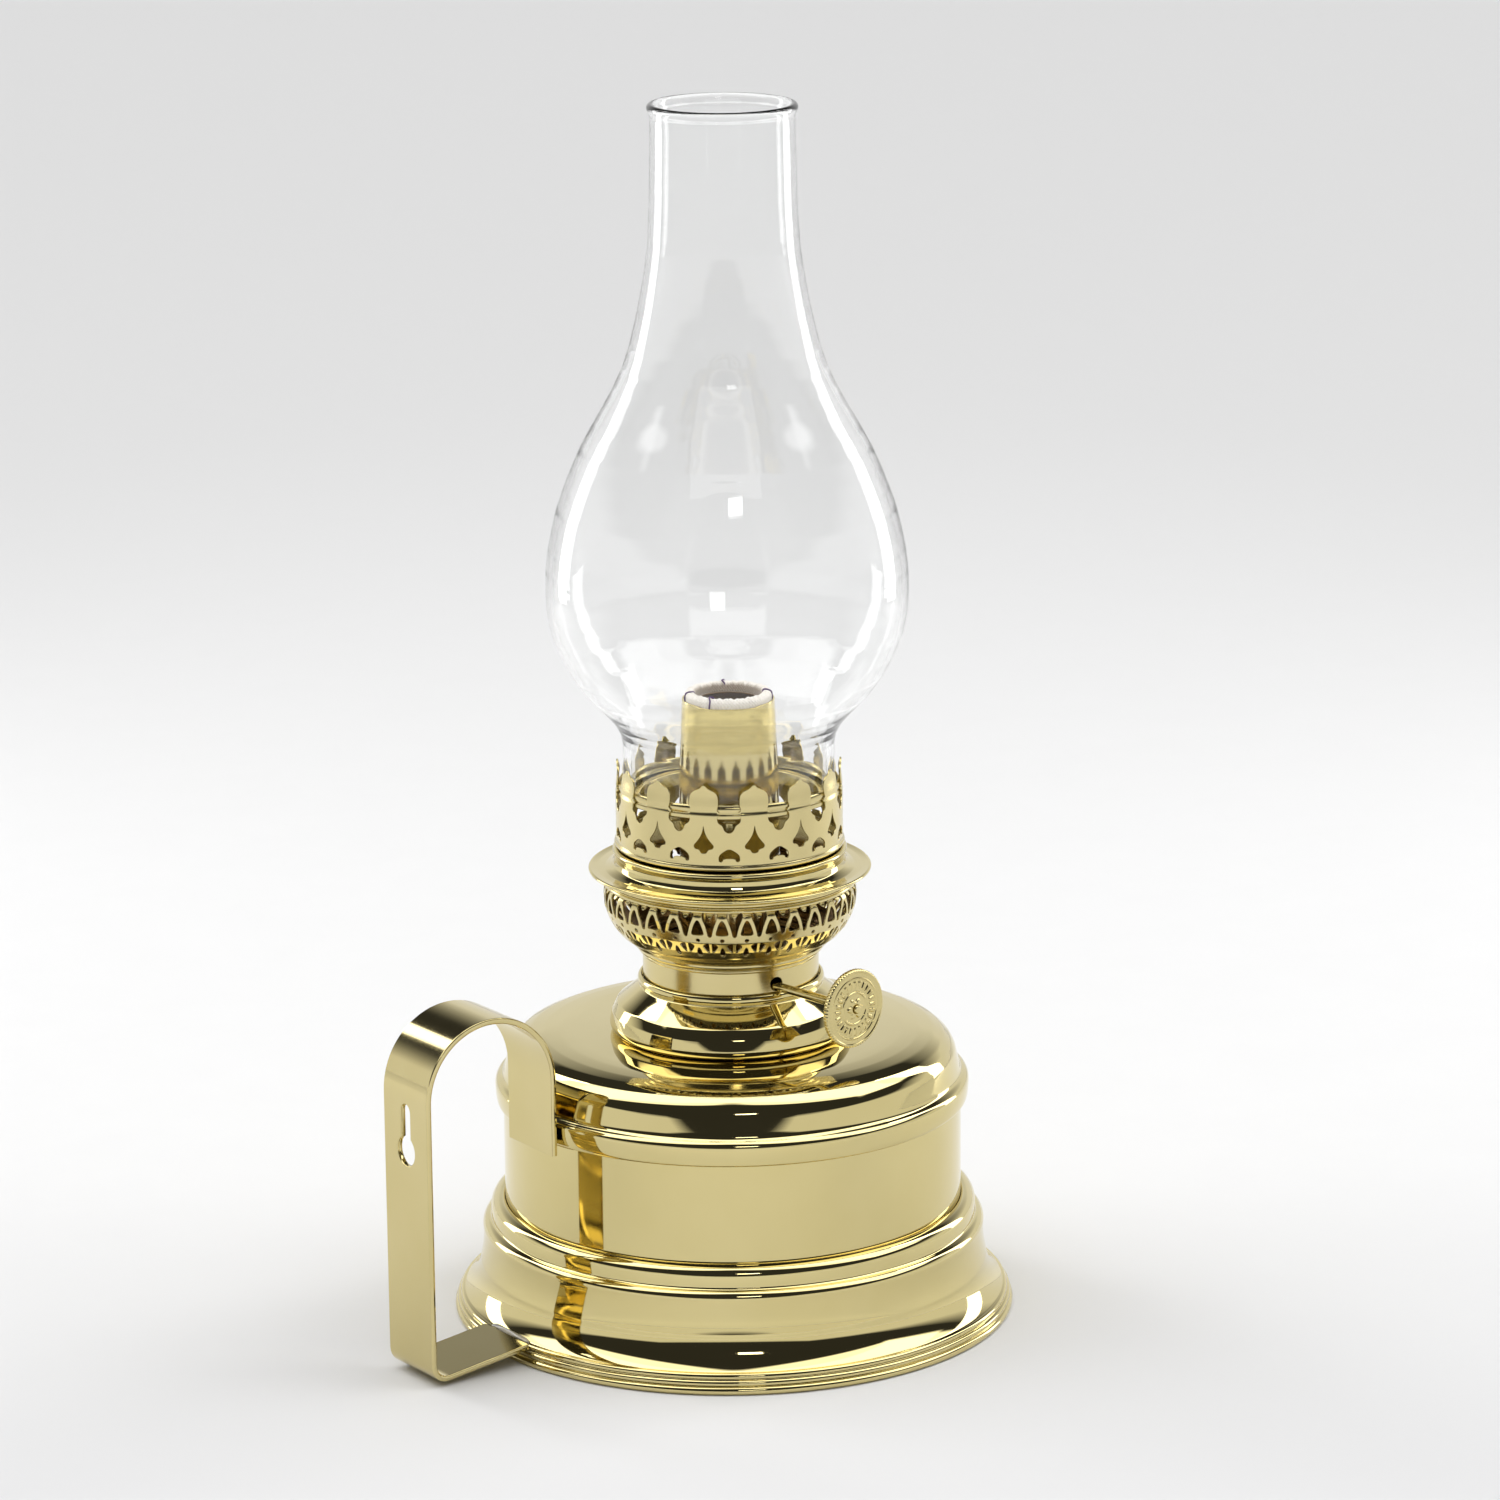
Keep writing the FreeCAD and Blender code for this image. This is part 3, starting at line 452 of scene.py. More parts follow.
class Cell:
    """A flat piece of sheet, from (0, low) to (width, high), with holes, as triangles."""

    def __init__(self, width, low, high, holes, step, open_sides):
        rows = ceil((high - low) / step)
        columns = ceil(width / step)
        xs = [width * index / columns for index in range(columns + 1)]
        ys = [low + (high - low) * index / rows for index in range(rows + 1)]
        border = [(x, low) for x in xs] + [(width, y) for y in ys[1:]]
        border += [(x, high) for x in reversed(xs[:-1])] + [(0.0, y) for y in reversed(ys[1:-1])]
        points, edges = [], []
        for outline in [border] + holes:
            first = len(points)
            points += outline
            edges += [(first + index, first + (index + 1) % len(outline)) for index in range(len(outline))]
        fixed = np.array(points)
        for x in xs[1:-1]:
            for y in ys[1:-1]:
                if np.min(np.hypot(fixed[:, 0] - x, fixed[:, 1] - y)) > step * 0.3:
                    points.append((x, y))
        found = delaunay_2d_cdt([Vector(point) for point in points], edges, [], 0, 1e-6)
        self.points = [tuple(point) for point in found[0]]
        self.triangles = []
        for face in found[2]:
            x = sum(self.points[index][0] for index in face) / 3
            y = sum(self.points[index][1] for index in face) / 3
            if 0 < x < width and low < y < high and not any(inside((x, y), hole) for hole in holes):
                self.triangles.append(self.counter_clockwise(face))
        used = sorted({index for face in self.triangles for index in face})
        order = {old: new for new, old in enumerate(used)}
        self.points = [self.points[index] for index in used]
        self.triangles = [tuple(order[index] for index in face) for face in self.triangles]
        self.left = self.side(0.0) if open_sides else []
        self.right = self.side(width) if open_sides else []
        self.partner = {index: self.level_with(index) for index in self.right}
        self.rims = self.find_rims()
        self.inward = self.find_inward()

    def counter_clockwise(self, face):
        (ax, ay), (bx, by), (cx, cy) = (self.points[index] for index in face)
        return tuple(face) if (bx - ax) * (cy - ay) > (cx - ax) * (by - ay) else tuple(reversed(face))

    def side(self, x):
        found = [index for index, point in enumerate(self.points) if abs(point[0] - x) < 1e-5]
        return sorted(found, key=lambda index: self.points[index][1])

    def level_with(self, index):
        """The point of the left side at the same height as one of the right side."""
        height = self.points[index][1]
        return min(self.left, key=lambda other: abs(self.points[other][1] - height))

    def find_rims(self):
        """Edges with sheet on one side only, listed with the sheet on their left."""
        edges = {pair for face in self.triangles for pair in zip(face, face[1:] + face[:1])}
        sides = (set(self.left), set(self.right))
        return sorted(pair for pair in edges if pair[::-1] not in edges
                      and not any(pair[0] in side and pair[1] in side for side in sides))

    def find_inward(self):
        """For each point on a rim, the way into the sheet, as long as a mitre."""
        ways = {}
        for start, stop in self.rims:
            dx = self.points[stop][0] - self.points[start][0]
            dy = self.points[stop][1] - self.points[start][1]
            length = hypot(dx, dy)
            for index in (start, stop):
                ways.setdefault(self.partner.get(index, index), []).append((-dy / length, dx / length))
        inward = {}
        for index, found in ways.items():
            x, y = sum(way[0] for way in found), sum(way[1] for way in found)
            length = hypot(x, y) or 1.0
            mitre = min(1.6, 1 / max(0.3, (x * found[0][0] + y * found[0][1]) / length))
            inward[index] = (x / length * mitre, y / length * mitre)
        for index, other in self.partner.items():
            if other in inward:
                inward[index] = inward[other]
        return inward


def sheet_piece(node, suffix, cell, surface, thick, edge, count, material, body):
    """Bends a cell of sheet onto a surface, count times round.  surface(x, y, turn) gives a
    point and the outward normal.  The sheet's edges are rounded by edge."""
    points, normals, faces, uvs = [], [], [], []
    numbers = {}
    small = 0.02

    def spot(copy, index, layer):
        """Number of one point of one copy of the cell in one layer."""
        if index in cell.partner:
            index, copy = cell.partner[index], (copy + 1) % count
        key = (copy, index, layer)
        if key in numbers:
            return numbers[key]
        x, y = cell.points[index]
        way = cell.inward.get(index, (0.0, 0.0))
        depth = {"A": 0.0, "B": edge, "C": thick - edge, "D": thick}[layer]
        inset = edge if layer in "AD" else 0.0
        point, normal = surface(x + way[0] * inset, y + way[1] * inset, copy)
        if layer in "BC":
            aside, _ = surface(x - way[0] * small, y - way[1] * small, copy)
            outward = (np.array(aside) - np.array(point)) / small
            outward /= max(np.linalg.norm(outward), 1e-9)
            shown = outward * 0.93 + np.array(normal) * (0.37 if layer == "B" else -0.37)
        else:
            shown = np.array(normal) * (1 if layer == "A" else -1)
        numbers[key] = len(points)
        points.append(np.array(point) - np.array(normal) * depth)
        normals.append(shown)
        uvs.append((x * MM, y * MM))
        return numbers[key]

    for copy in range(count):
        for face in cell.triangles:
            faces.append([spot(copy, index, "A") for index in face])
            faces.append([spot(copy, index, "D") for index in reversed(face)])
        for start, stop in cell.rims:
            for upper, lower in ("AB", "BC", "CD"):
                faces.append([spot(copy, stop, upper), spot(copy, start, upper),
                              spot(copy, start, lower), spot(copy, stop, lower)])
    new_piece(node, suffix, points, faces, normals, material, body, uvs)


def sheet_ring(node, suffix, curve, width, count, turn, holes, step, thick, edge, material, body):
    """A ring of sheet that follows a curve of (radius, height), with the same holes count times
    round.  A hole's heights are lengths along the curve."""
    parts = [part for hole in holes for part in split_round(hole, width)]

    def surface(x, y, copy):
        (radius, height), (side, rise) = curve.at(y)
        angle = turn + (copy + x / width) * TAU / count
        across, back = cos(angle), sin(angle)
        return (radius * across, radius * back, height), (side * across, side * back, rise)

    cell = Cell(width, 0.0, curve.along[-1], parts, step, True)
    sheet_piece(node, suffix, cell, surface, thick, edge, count, material, body)


def smooth_loop(points, rounds=3):
    """A closed outline with its corners cut back again and again until it is smooth."""
    for _ in range(rounds):
        cut = []
        for (ax, ay), (bx, by) in zip(points, points[1:] + points[:1]):
            cut += [(ax * near + bx * (1 - near), ay * near + by * (1 - near)) for near in (0.75, 0.25)]
        points = cut
    return points


def both_sides(half):
    """A closed outline from its right half, listed from top to bottom."""
    return half + [(-x, y) for x, y in reversed(half) if x > 0]


def split_round(hole, width):
    """A hole, and its copy one cell back or on where it crosses the cell's side."""
    found = [hole]
    if min(x for x, _ in hole) < 0:
        found.append(moved(hole, width))
    if max(x for x, _ in hole) > width:
        found.append(moved(hole, -width))
    return found


def moved(outline, dx, dy=0.0):
    return [(x + dx, y + dy) for x, y in outline]


# ------ sizes from the frame

def extent(node):
    """The corners of a CAD node's box."""
    low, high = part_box(node)
    return low / MM, high / MM


def reach(node):
    """A CAD node's lowest and highest level and its radius."""
    low, high = extent(node)
    return low.z, high.z, high.x


def inset_points(radius, height, outline):
    """Outline points from their distances inside a radius and above a height."""
    return [(radius - inset, height + rise, *kind) for inset, rise, *kind in outline]


TANK_SHEET = 0.8
SKIRT_TOP, FOOT = reach("base_skirt")[1:]
TANK = reach("tank_wall")[2]
LIP_LOW, DOME, LIP = reach("tank_cover")


# ------ base and tank

def base_skirt():
    """The pressed foot: three beads, a flared skirt, and two steps up to the tank."""
    ledge = SKIRT_TOP - 5.4
    skirt = FOOT - 7.4
    step = FOOT - 9.5
    lathe("base_skirt", "shell", [
        (FOOT - 1.3, 0.0), (FOOT, 1.1, "arc"), (FOOT - 1.0, 2.05),
        (FOOT - 0.55, 2.85, "arc"), (FOOT - 1.55, 3.6),
        (FOOT - 1.35, 4.3, "arc"), (FOOT - 2.5, 5.1),
        (FOOT - 4.8, 7.6, "arc"), (skirt + 0.75, 13.0),
        (skirt + 0.2, 16.0, "arc"), (skirt, ledge - 2.4),
        (skirt - 0.5, ledge - 0.5, "arc"), (step + 0.35, ledge + 0.1),
        (step, ledge + 0.5), (step, SKIRT_TOP - 2.2),
        (step - 1.0, SKIRT_TOP - 0.45, "arc"), (TANK + 0.25, SKIRT_TOP),
        (TANK + 0.05, SKIRT_TOP - 0.2), (TANK + 0.05, SKIRT_TOP - 1.0),
        (step - 1.7, SKIRT_TOP - 1.6), (step - 0.9, SKIRT_TOP - 2.6), (step - 0.8, ledge - 0.7),
        (skirt - 1.5, ledge - 1.3), (skirt - 0.8, ledge - 2.8), (skirt - 0.6, 16.0),
        (FOOT - 5.6, 7.2, "arc"), (FOOT - 3.4, 4.4), (FOOT - 2.1, 3.0), (FOOT - 2.1, 0.0),
    ], MIRROR_BRASS, "tank", soft=0.16, turn=2.0)


def tank_wall():
    low, high = reach("tank_wall")[:2]
    lathe("tank_wall", "shell", [
        (TANK, low), (TANK, high), (TANK - TANK_SHEET, high), (TANK - TANK_SHEET, low),
    ], MIRROR_BRASS, "tank", soft=0.1)


def tank_cover():
    """The lip, the slanting shoulder and the dome, then back along the inside."""
    shoulder = LIP - 2.8
    hole = reach("tank_collar")[2] - 6.2
    lip = inset_points(LIP, LIP_LOW, [
        (0.9, 0.0), (0.35, 0.45), (0.05, 2.4, "arc"), (0.0, 4.4), (0.3, 5.8, "arc"), (1.4, 6.5)])
    side = inset_points(shoulder, LIP_LOW, [(-0.95, 6.75), (-0.7, 7.2), (-0.15, 9.7)])
    dome = inset_points(shoulder, DOME, [
        (0.5, -5.3), (1.6, -3.4), (3.4, -1.8), (5.9, -0.85), (9.5, -0.32), (14.0, -0.1)])
    mouth = [(hole + 4.0, DOME), (hole, DOME), (hole, DOME - TANK_SHEET)]
    under = inset_points(shoulder, DOME, [(14.0, -0.9), (6.3, -1.7), (2.3, -4.2)])
    within = inset_points(shoulder, LIP_LOW, [(0.9, 10.4), (0.9, 6.2)])
    lathe("tank_cover", "dome", [
        (TANK + 0.15, LIP_LOW), *lip, *side, *dome, *mouth, *under, *within,
        (LIP - 1.2, LIP_LOW + 5.4), (TANK + 0.15, LIP_LOW + 4.6),
    ], MIRROR_BRASS, "tank", soft=0.45, turn=1.5)


def tank_collar():
    low, high, belly = reach("tank_collar")
    vase = inset_points(belly, low, [
        (1.5, 0.0), (0.35, 1.0, "arc"), (0.0, 2.4), (0.6, 5.1), (1.9, 7.5), (4.2, 9.3), (6.4, 11.0),
        (7.55, 11.8), (7.4, 12.2), (7.05, 13.2, "arc"),
    ])
    mouth = inset_points(belly, high, [(7.5, 0.0), (8.05, 0.0), (8.05, -3.2), (7.4, -4.0)])
    within = inset_points(belly, low, [(2.9, 6.8), (0.9, 2.4), (2.3, 0.0)])
    lathe("tank_collar", "vase", vase + mouth + within, MIRROR_BRASS, "tank",
          soft=0.22, turn=1.5)


SCREW_PITCH = 1.6


def screw_thread(low, high, near, depth):
    """A shape for lathe: between two heights, a groove winds round the points whose radius is near."""
    def shape(radius, height, angle):
        wave = 0.5 - 0.5 * np.cos(TAU * (height / SCREW_PITCH - angle / TAU))
        within = near(radius) & (height > low) & (height < high)
        return radius + np.where(within, depth * wave, 0.0), height
    return shape


def collar_bush():
    """The threaded bush inside the collar."""
    low, high, mouth = reach("collar_bush")
    bore = 20.9
    thread = screw_thread(low + 0.6, high - 0.6, lambda radius: radius < bore + 0.1, 0.35)
    lathe("collar_bush", "thread", [
        (bore, low), (bore + 0.9, low), (bore + 0.9, low + 4.0), (mouth, low + 4.7), (mouth, high),
        (bore, high),
    ], TURNED_BRASS, "tank", soft=0.08, shape=thread, longest=0.16, segments=144)


# ------ handle

STRAP_WIDTH = 19.0
STRAP_THICK = 1.5


def handle_strap():
    """The strap, followed from its foot under the tank, round the arch and down to its inner end."""
    low, high = extent("handle_strap")
    reach, back, base = -low.x, -high.x, low.z
    outer_radius = (reach - back) / 2
    middle = (reach + back) / 2
    arch = high.z - outer_radius
    corner = 4.5
    lean = corner * (1 - sqrt(0.5))
    foot, rise, end = 68.4, 3.0, 52.0
    curve = Curve([
        (-foot, base + rise), (-reach + corner, base + 0.05), (-reach + lean, base + lean, "arc"),
        (-reach, base + corner), (-reach, arch), (-middle, arch + outer_radius, "arc"), (-back, arch),
        (-back, end),
    ], closed=False, soft=0.5)

    key_height, key_radius, slot, slot_rise = 58.3, 3.75, 2.0, 9.8
    away = np.abs(curve.points[:, 0] + reach) + np.abs(curve.points[:, 1] - key_height)
    join = asin(slot / key_radius)
    turns = [pi / 2 + join + (TAU - 2 * join) * step / 40 for step in range(41)]
    keyhole = [(key_radius * cos(turn), key_radius * sin(turn)) for turn in turns]
    cap = [pi * step / 12 for step in range(13)]
    keyhole += [(slot * cos(turn), slot_rise + slot * sin(turn)) for turn in cap]
    hole = moved(keyhole, STRAP_WIDTH / 2, curve.along[np.argmin(away)])

    def surface(x, y, copy):
        (across, height), normal = curve.at(y)
        return (across, STRAP_WIDTH / 2 - x, height), (-normal[0], 0.0, -normal[1])

    cell = Cell(STRAP_WIDTH, 0.0, curve.along[-1], [hole], 1.0, False)
    sheet_piece("handle_strap", "bent", cell, surface, STRAP_THICK, 0.22, 1, STRAP_BRASS, "tank")


def solder_bead(node, bulge, seed):
    """A lumpy bead of solder in a CAD bead's place."""
    low, high = extent(node)
    middle, half = (low + high) / 2, (high - low) / 2
    draw = random.Random(seed)
    waves = [(draw.uniform(1.5, 5.0), draw.uniform(0, TAU), draw.uniform(0, TAU)) for _ in range(6)]
    rows, columns = 19, 36
    points = []
    for row in range(rows):
        tip = pi * row / (rows - 1)
        for column in range(columns):
            turn = TAU * column / columns
            ripples = [sin(rate * turn + a) * sin(rate * tip + b) for rate, a, b in waves]
            lump = 1 + bulge * sum(ripples) / len(waves)
            wide = abs(sin(tip)) ** 0.7
            x = wide * copysign(abs(cos(turn)) ** 0.7, cos(turn))
            z = wide * copysign(abs(sin(turn)) ** 0.7, sin(turn))
            y = copysign(abs(cos(tip)) ** 0.8, cos(tip))
            points.append((middle.x + half.x * x * lump, middle.y + half.y * y, middle.z + half.z * z * lump))
    new_piece(node, "bead", points, ring_faces(rows, columns, False), None, SOLDER, "tank")


# ------ burner

BAND_LOW, BAND_TOP, BAND = reach("burner_band")
BAND_HOLE = (-1.87, 87.95, 1.75)        # x, height and radius of the hole for the shaft
BASKET = 31.3
BASKET_TOP = reach("burner_basket")[1]
BASKET_HOLES = 32
FLANGE_LOW, FLANGE_TOP, FLANGE = reach("flange_ring")
THROAT = 28.35
TUBE_LOW, TUBE_TOP, TUBE = reach("outer_wick_tube")
TUBE_MOUTH = 11.4


def burner_thread():
    low, high, wide = reach("burner_thread")
    thread = screw_thread(low + 0.5, high - 1.0, lambda radius: radius > wide - 0.25, -0.4)
    lathe("burner_thread", "sleeve", [
        (wide, low), (wide, high), (wide - 0.8, high), (wide - 0.8, low),
    ], TURNED_BRASS, "burner", soft=0.08, shape=thread, longest=0.16, segments=144)


def burner_seal():
    low, high, wide = reach("burner_seal")
    lathe("burner_seal", "washer", [
        (wide - 1.05, low), (wide, low), (wide, high), (wide - 1.05, high),
    ], RUBBER, "burner", soft=0.12)


def burner_band():
    """The burner's plain band, with the round hole that the shaft comes out of."""
    curve = Curve([(BAND - 1.2, BAND_LOW + 0.1), (BAND - 0.3, BAND_LOW + 0.15), (BAND, BAND_LOW + 0.6),
                   (BAND, BAND_TOP)], closed=False, soft=0.12)
    across, level, radius = BAND_HOLE
    angle = atan2(-BAND, across) % TAU
    width = TAU * BAND
    turns = [TAU * step / 40 for step in range(40)]
    ring = [(radius * cos(turn), radius * sin(turn)) for turn in turns]
    hole = moved(ring, angle / TAU * width, curve.reach(level))
    sheet_ring("burner_band", "sleeve", curve, width, 1, 0.0, [hole], 0.9, 0.7, 0.08, SATIN_BRASS, "burner")


def basket_curve():
    """The basket's outside, from the ridged foot to the rim under the flange."""
    foot = inset_points(BAND, BAND_TOP, [
        (0.9, -0.25), (0.1, -0.2), (-0.35, 0.3, "arc"), (-0.1, 1.0), (-1.35, 1.5, "arc"), (-1.4, 2.5),
        (-2.5, 2.95, "arc"), (-3.2, 3.9), (-5.2, 5.25), (-7.15, 7.6), (-8.55, 10.2),
    ])
    side = inset_points(BASKET, BAND_TOP, [(0.2, 12.6), (0.0, 15.0)])
    rim = inset_points(BASKET, BASKET_TOP, [
        (0.15, -4.0), (0.7, -3.3), (-0.05, -2.6, "arc"), (0.55, -2.0), (0.45, -1.8), (-0.2, -1.15, "arc"),
        (0.35, -0.5), (0.2, -0.2),
    ])
    return Curve(foot + side + rim, closed=False, soft=0.16)


def burner_basket():
    """Three rows of holes: arches above, dots and leaves below.  Heights are above the band."""
    curve = basket_curve()
    unit = TAU * 30.0 / BASKET_HOLES

    def on_curve(outline, centre):
        return [(centre + x, curve.reach(BAND_TOP + z)) for x, z in outline]

    vee = both_sides([(0.0, 16.5), (0.75, 17.6), (1.5, 18.5), (2.15, 17.4), (1.2, 15.2), (0.62, 13.0),
                      (0.42, 11.9)])
    bell = both_sides([(0.0, 16.5), (0.75, 15.5), (1.35, 13.6), (1.6, 12.6), (0.8, 12.35)])
    dot = [(0.55 * cos(TAU * step / 14), 11.0 + 0.5 * sin(TAU * step / 14)) for step in range(14)]
    leaf = [(0.3, 10.4), (1.75, 9.7), (1.9, 9.1), (0.4, 7.0), (0.3, 8.4)]
    bud = both_sides([(0.0, 9.2), (0.55, 8.2), (0.75, 6.9), (0.4, 6.2)])
    holes = [
        on_curve(smooth_loop(vee), unit * 0.25),
        on_curve(smooth_loop(bell), unit * 0.75),
        on_curve(dot, unit * 0.75),
        on_curve(smooth_loop(leaf, 2), unit * 0.25),
        on_curve(smooth_loop([(-x, z) for x, z in leaf], 2), unit * 0.25),
        on_curve(smooth_loop(bud, 2), unit * 0.75),
    ]
    turn = radians(-90) - TAU / BASKET_HOLES * 0.25
    sheet_ring("burner_basket", "pierced", curve, unit, BASKET_HOLES, turn, holes, 0.62, 0.55, 0.06,
               BASKET_BRASS, "burner")


def flange_ring():
    """The wide dish, the upright throat with a bead round its top, and the way back underneath."""
    level = FLANGE_LOW + 0.5
    dish = inset_points(FLANGE, level, [
        (0.6, -0.35), (0.0, 0.1, "arc"), (0.5, 0.55), (2.2, 0.28), (4.2, 0.35),
    ])
    throat = inset_points(THROAT, level, [(-1.4, 0.7), (-0.35, 1.3), (0.12, 2.3), (0.2, 3.6)])
    bead = inset_points(THROAT, FLANGE_TOP, [
        (0.1, -1.9), (-0.3, -1.3), (-0.6, -0.7, "arc"), (-0.1, 0.0), (0.6, 0.0),
    ])
    under = inset_points(THROAT, level, [(0.6, 2.4), (0.1, 0.5), (-0.9, -0.15)])
    lathe("flange_ring", "dish", dish + throat + bead + under + [(FLANGE - 3.2, level - 0.45)], MIRROR_BRASS,
          "burner", soft=0.18, turn=2.0)


def outer_wick_tube():
    cone = inset_points(TUBE_MOUTH, TUBE_TOP, [
        (-0.55, -13.5), (-0.22, -6.0), (0.0, 0.0), (0.5, 0.0), (0.25, -7.0), (-0.1, -14.0),
    ])
    lathe("outer_wick_tube", "cone", [
        (TUBE, TUBE_LOW), (TUBE, TUBE_TOP - 21.5), *cone,
        (TUBE - 0.5, TUBE_TOP - 22.0), (TUBE - 0.5, TUBE_LOW),
    ], TURNED_BRASS, "burner", soft=0.12, segments=192)


def inner_air_tube():
    low, high, wide = reach("inner_air_tube")
    # The tube is coloured with painted shade, dark brown.
    lathe("inner_air_tube", "draw", [
        (0.0, low), (wide, low), (wide, high), (wide - 0.5, high), (wide - 0.5, low + 0.5), (0.0, low + 0.5),
    ], SHADE_BRASS, "burner", soft=0.1, segments=144)


# ------ knob and wick

def shaft_place():
    """A matrix that stands a turned piece on the shaft, its +Z out through the knob, with the
    shaft's axis and a point on it."""
    joint = next(joint for joint in frame["joints"] if joint["name"] == "knob_turn")
    axis = Vector(joint["axis"]).normalized()
    origin = Vector(joint["pos_m"]) / MM
    side = Vector((0, 0, 1)).cross(axis).normalized()
    turn = Matrix((side, axis.cross(side), axis)).transposed().to_4x4()
    return Matrix.Translation(origin) @ turn, axis, origin


def span(node, axis, origin):
    """How far a node reaches along an axis from a point."""
    spans = [(Vector(vertex.co) / MM - origin) @ axis for vertex in frame["nodes"][node].data.vertices]
    return min(spans), max(spans)


SHAFT, SHAFT_AXIS, SHAFT_ORIGIN = shaft_place()
KNOB = 9.75
KNOB_TEETH = 72
ROSETTE = 24
BEADS = 60
STAR = 6
WICK_PROUD = 1.2            # how far the frayed cotton stands above its cut edge


def wick_shaft():
    near, far = span("wick_shaft", SHAFT_AXIS, SHAFT_ORIGIN)
    lathe("wick_shaft", "rod", [
        (0.0, near), (0.9, near), (1.15, near + 0.3), (1.15, far - 1.1), (0.95, far - 1.0), (0.95, far - 0.7),
        (1.05, far - 0.5), (0.85, far - 0.1), (0.0, far),
    ], TURNED_BRASS, "knob", soft=0.08, segments=48, place=SHAFT, longest=2.0)


def wick_knob():
    """A thin stamped disc: milled edge, rings, a raised rosette of petals and a star boss."""
    back, face = span("wick_knob", SHAFT_AXIS, SHAFT_ORIGIN)
    face -= 0.6
    back += 0.4

    def stamp(radius, height, angle):
        milled = 0.16 * (0.5 + 0.5 * np.cos(angle * KNOB_TEETH))
        edge = np.clip((radius - KNOB + 0.6) / 0.4, 0, 1)
        front = np.clip((height - face + 0.5) / 0.2, 0, 1)
        share = radius / KNOB
        petal = np.clip((0.115 - np.abs(share - 0.6)) / 0.05, 0, 1)
        arcs = 0.5 + 0.5 * np.cos(angle * ROSETTE)
        vein = np.clip(np.abs(np.sin(angle * ROSETTE / 2)) * 3.0, 0, 1)
        rosette = petal * np.clip(arcs * 1.6 - 0.3, 0, 1) * (0.7 + 0.3 * vein)
        beads = np.clip(1 - np.abs(share - 0.85) / 0.035, 0, 1) * (0.55 + 0.45 * np.cos(angle * BEADS))
        star_reach = 0.235 + 0.05 * np.cos(angle * STAR)
        star = np.clip((star_reach - share) / 0.03, 0, 1)
        lift = 0.3 * rosette + 0.13 * beads + 0.45 * star
        return radius - milled * edge, height + front * lift

    rings = [(0.92, 0.0), (0.905, 0.22), (0.80, 0.22), (0.79, 0.05), (0.765, 0.05), (0.755, 0.28),
             (0.44, 0.28), (0.43, 0.02), (0.385, 0.02), (0.375, 0.28), (0.15, 0.1)]
    lathe("wick_knob", "disc", [
        (1.15, back), (2.6, back), (3.0, back + 0.4), (KNOB - 0.35, back + 0.4), (KNOB, back + 0.7),
        (KNOB, face - 0.35), (KNOB - 0.35, face),
        *[(KNOB * share, face - depth) for share, depth in rings], (1.15, face - 0.1),
    ], TURNED_BRASS, "knob", soft=0.07, segments=432, shape=stamp, place=SHAFT,
        turn=12.0, longest=0.14)


def wick():
    """The tube of cotton: its worn top, and below that the tube with its slit and two tails."""
    low, high, wide = reach("wick")
    high += WICK_PROUD
    narrow = 8.2
    joint = high - 12.0
    tail_top, slit_top = 76.0 - low, 116.0 - low
    slit_left, slit_right = -7.0, 2.0
    under = -1.0
    width = TAU * wide
    gap = asin(6.0 / wide) * wide
    back, front = width * 0.25, width * 0.75
    openings = [
        [(back - gap, under), (back + gap, under), (back + gap, tail_top), (back - gap, tail_top)],
        [(front - gap, under), (front + gap, under), (front + gap, tail_top), (front + slit_right, tail_top),
         (front + slit_right, slit_top), (front + slit_left, slit_top), (front + slit_left, tail_top),
         (front - gap, tail_top)],
    ]
    curve = Curve([(wide, low), (wide, joint)], closed=False, soft=0.05)
    sheet_ring("wick", "cotton_tube", curve, width, 1, 0.0, openings, 1.6, wide - narrow, 0.12, COTTON,
               "wick")

    def frayed(radius, height, angle):
        near = np.clip((height - high + 3.0) / 3.0, 0, 1)
        ragged = 0.10 * np.sin(angle * 23 + 1.3) + 0.09 * np.sin(angle * 41)
        ragged += 0.07 * np.sin(angle * 9 + radius)
        return radius + near * 0.05 * np.sin(angle * COTTON_RIBS), height + near * (ragged - 0.12)

    lathe("wick", "cotton_top", [
        (wide, joint), (wide, high - 0.7), (wide - 0.7, high), (narrow + 0.7, high), (narrow, high - 0.7),
        (narrow, joint),
    ], COTTON, "wick", soft=0.3, segments=312, shape=frayed, longest=0.6)


def wick_stitches():
    """Coloured tracer threads that cross the wick's top."""
    high = reach("wick")[1] + WICK_PROUD
    route = [(10.85, -3.2), (10.85, -0.6), (10.1, 0.05), (9.3, 0.12), (8.7, 0.0), (8.4, -0.5), (8.6, -1.6)]
    for number, degrees in enumerate((-152.0, -38.0, 62.0, 158.0)):
        curve = bpy.data.curves.new("thread", "CURVE")
        curve.dimensions = "3D"
        curve.bevel_depth = 0.2 * MM
        curve.bevel_resolution = 3
        spline = curve.splines.new("NURBS")
        spline.points.add(len(route) - 1)
        for step, (radius, rise) in enumerate(route):
            turn = radians(degrees) + 0.05 * sin(step * 1.7 + number)
            place = Vector((radius * cos(turn), radius * sin(turn), high + rise)) * MM
            spline.points[step].co = (*place, 1)
        spline.order_u = 3
        spline.use_endpoint_u = True
        spline.use_smooth = True
        mesh = bpy.data.meshes.new_from_object(bpy.data.objects.new("thread", curve))
        mesh.name = "wick_stitch_%d" % (number + 1)
        mesh.materials.clear()
        mesh.materials.append(THREAD)
        piece = add_object(mesh.name, mesh)
        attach(piece, "wick")


# ------ crown and chimney

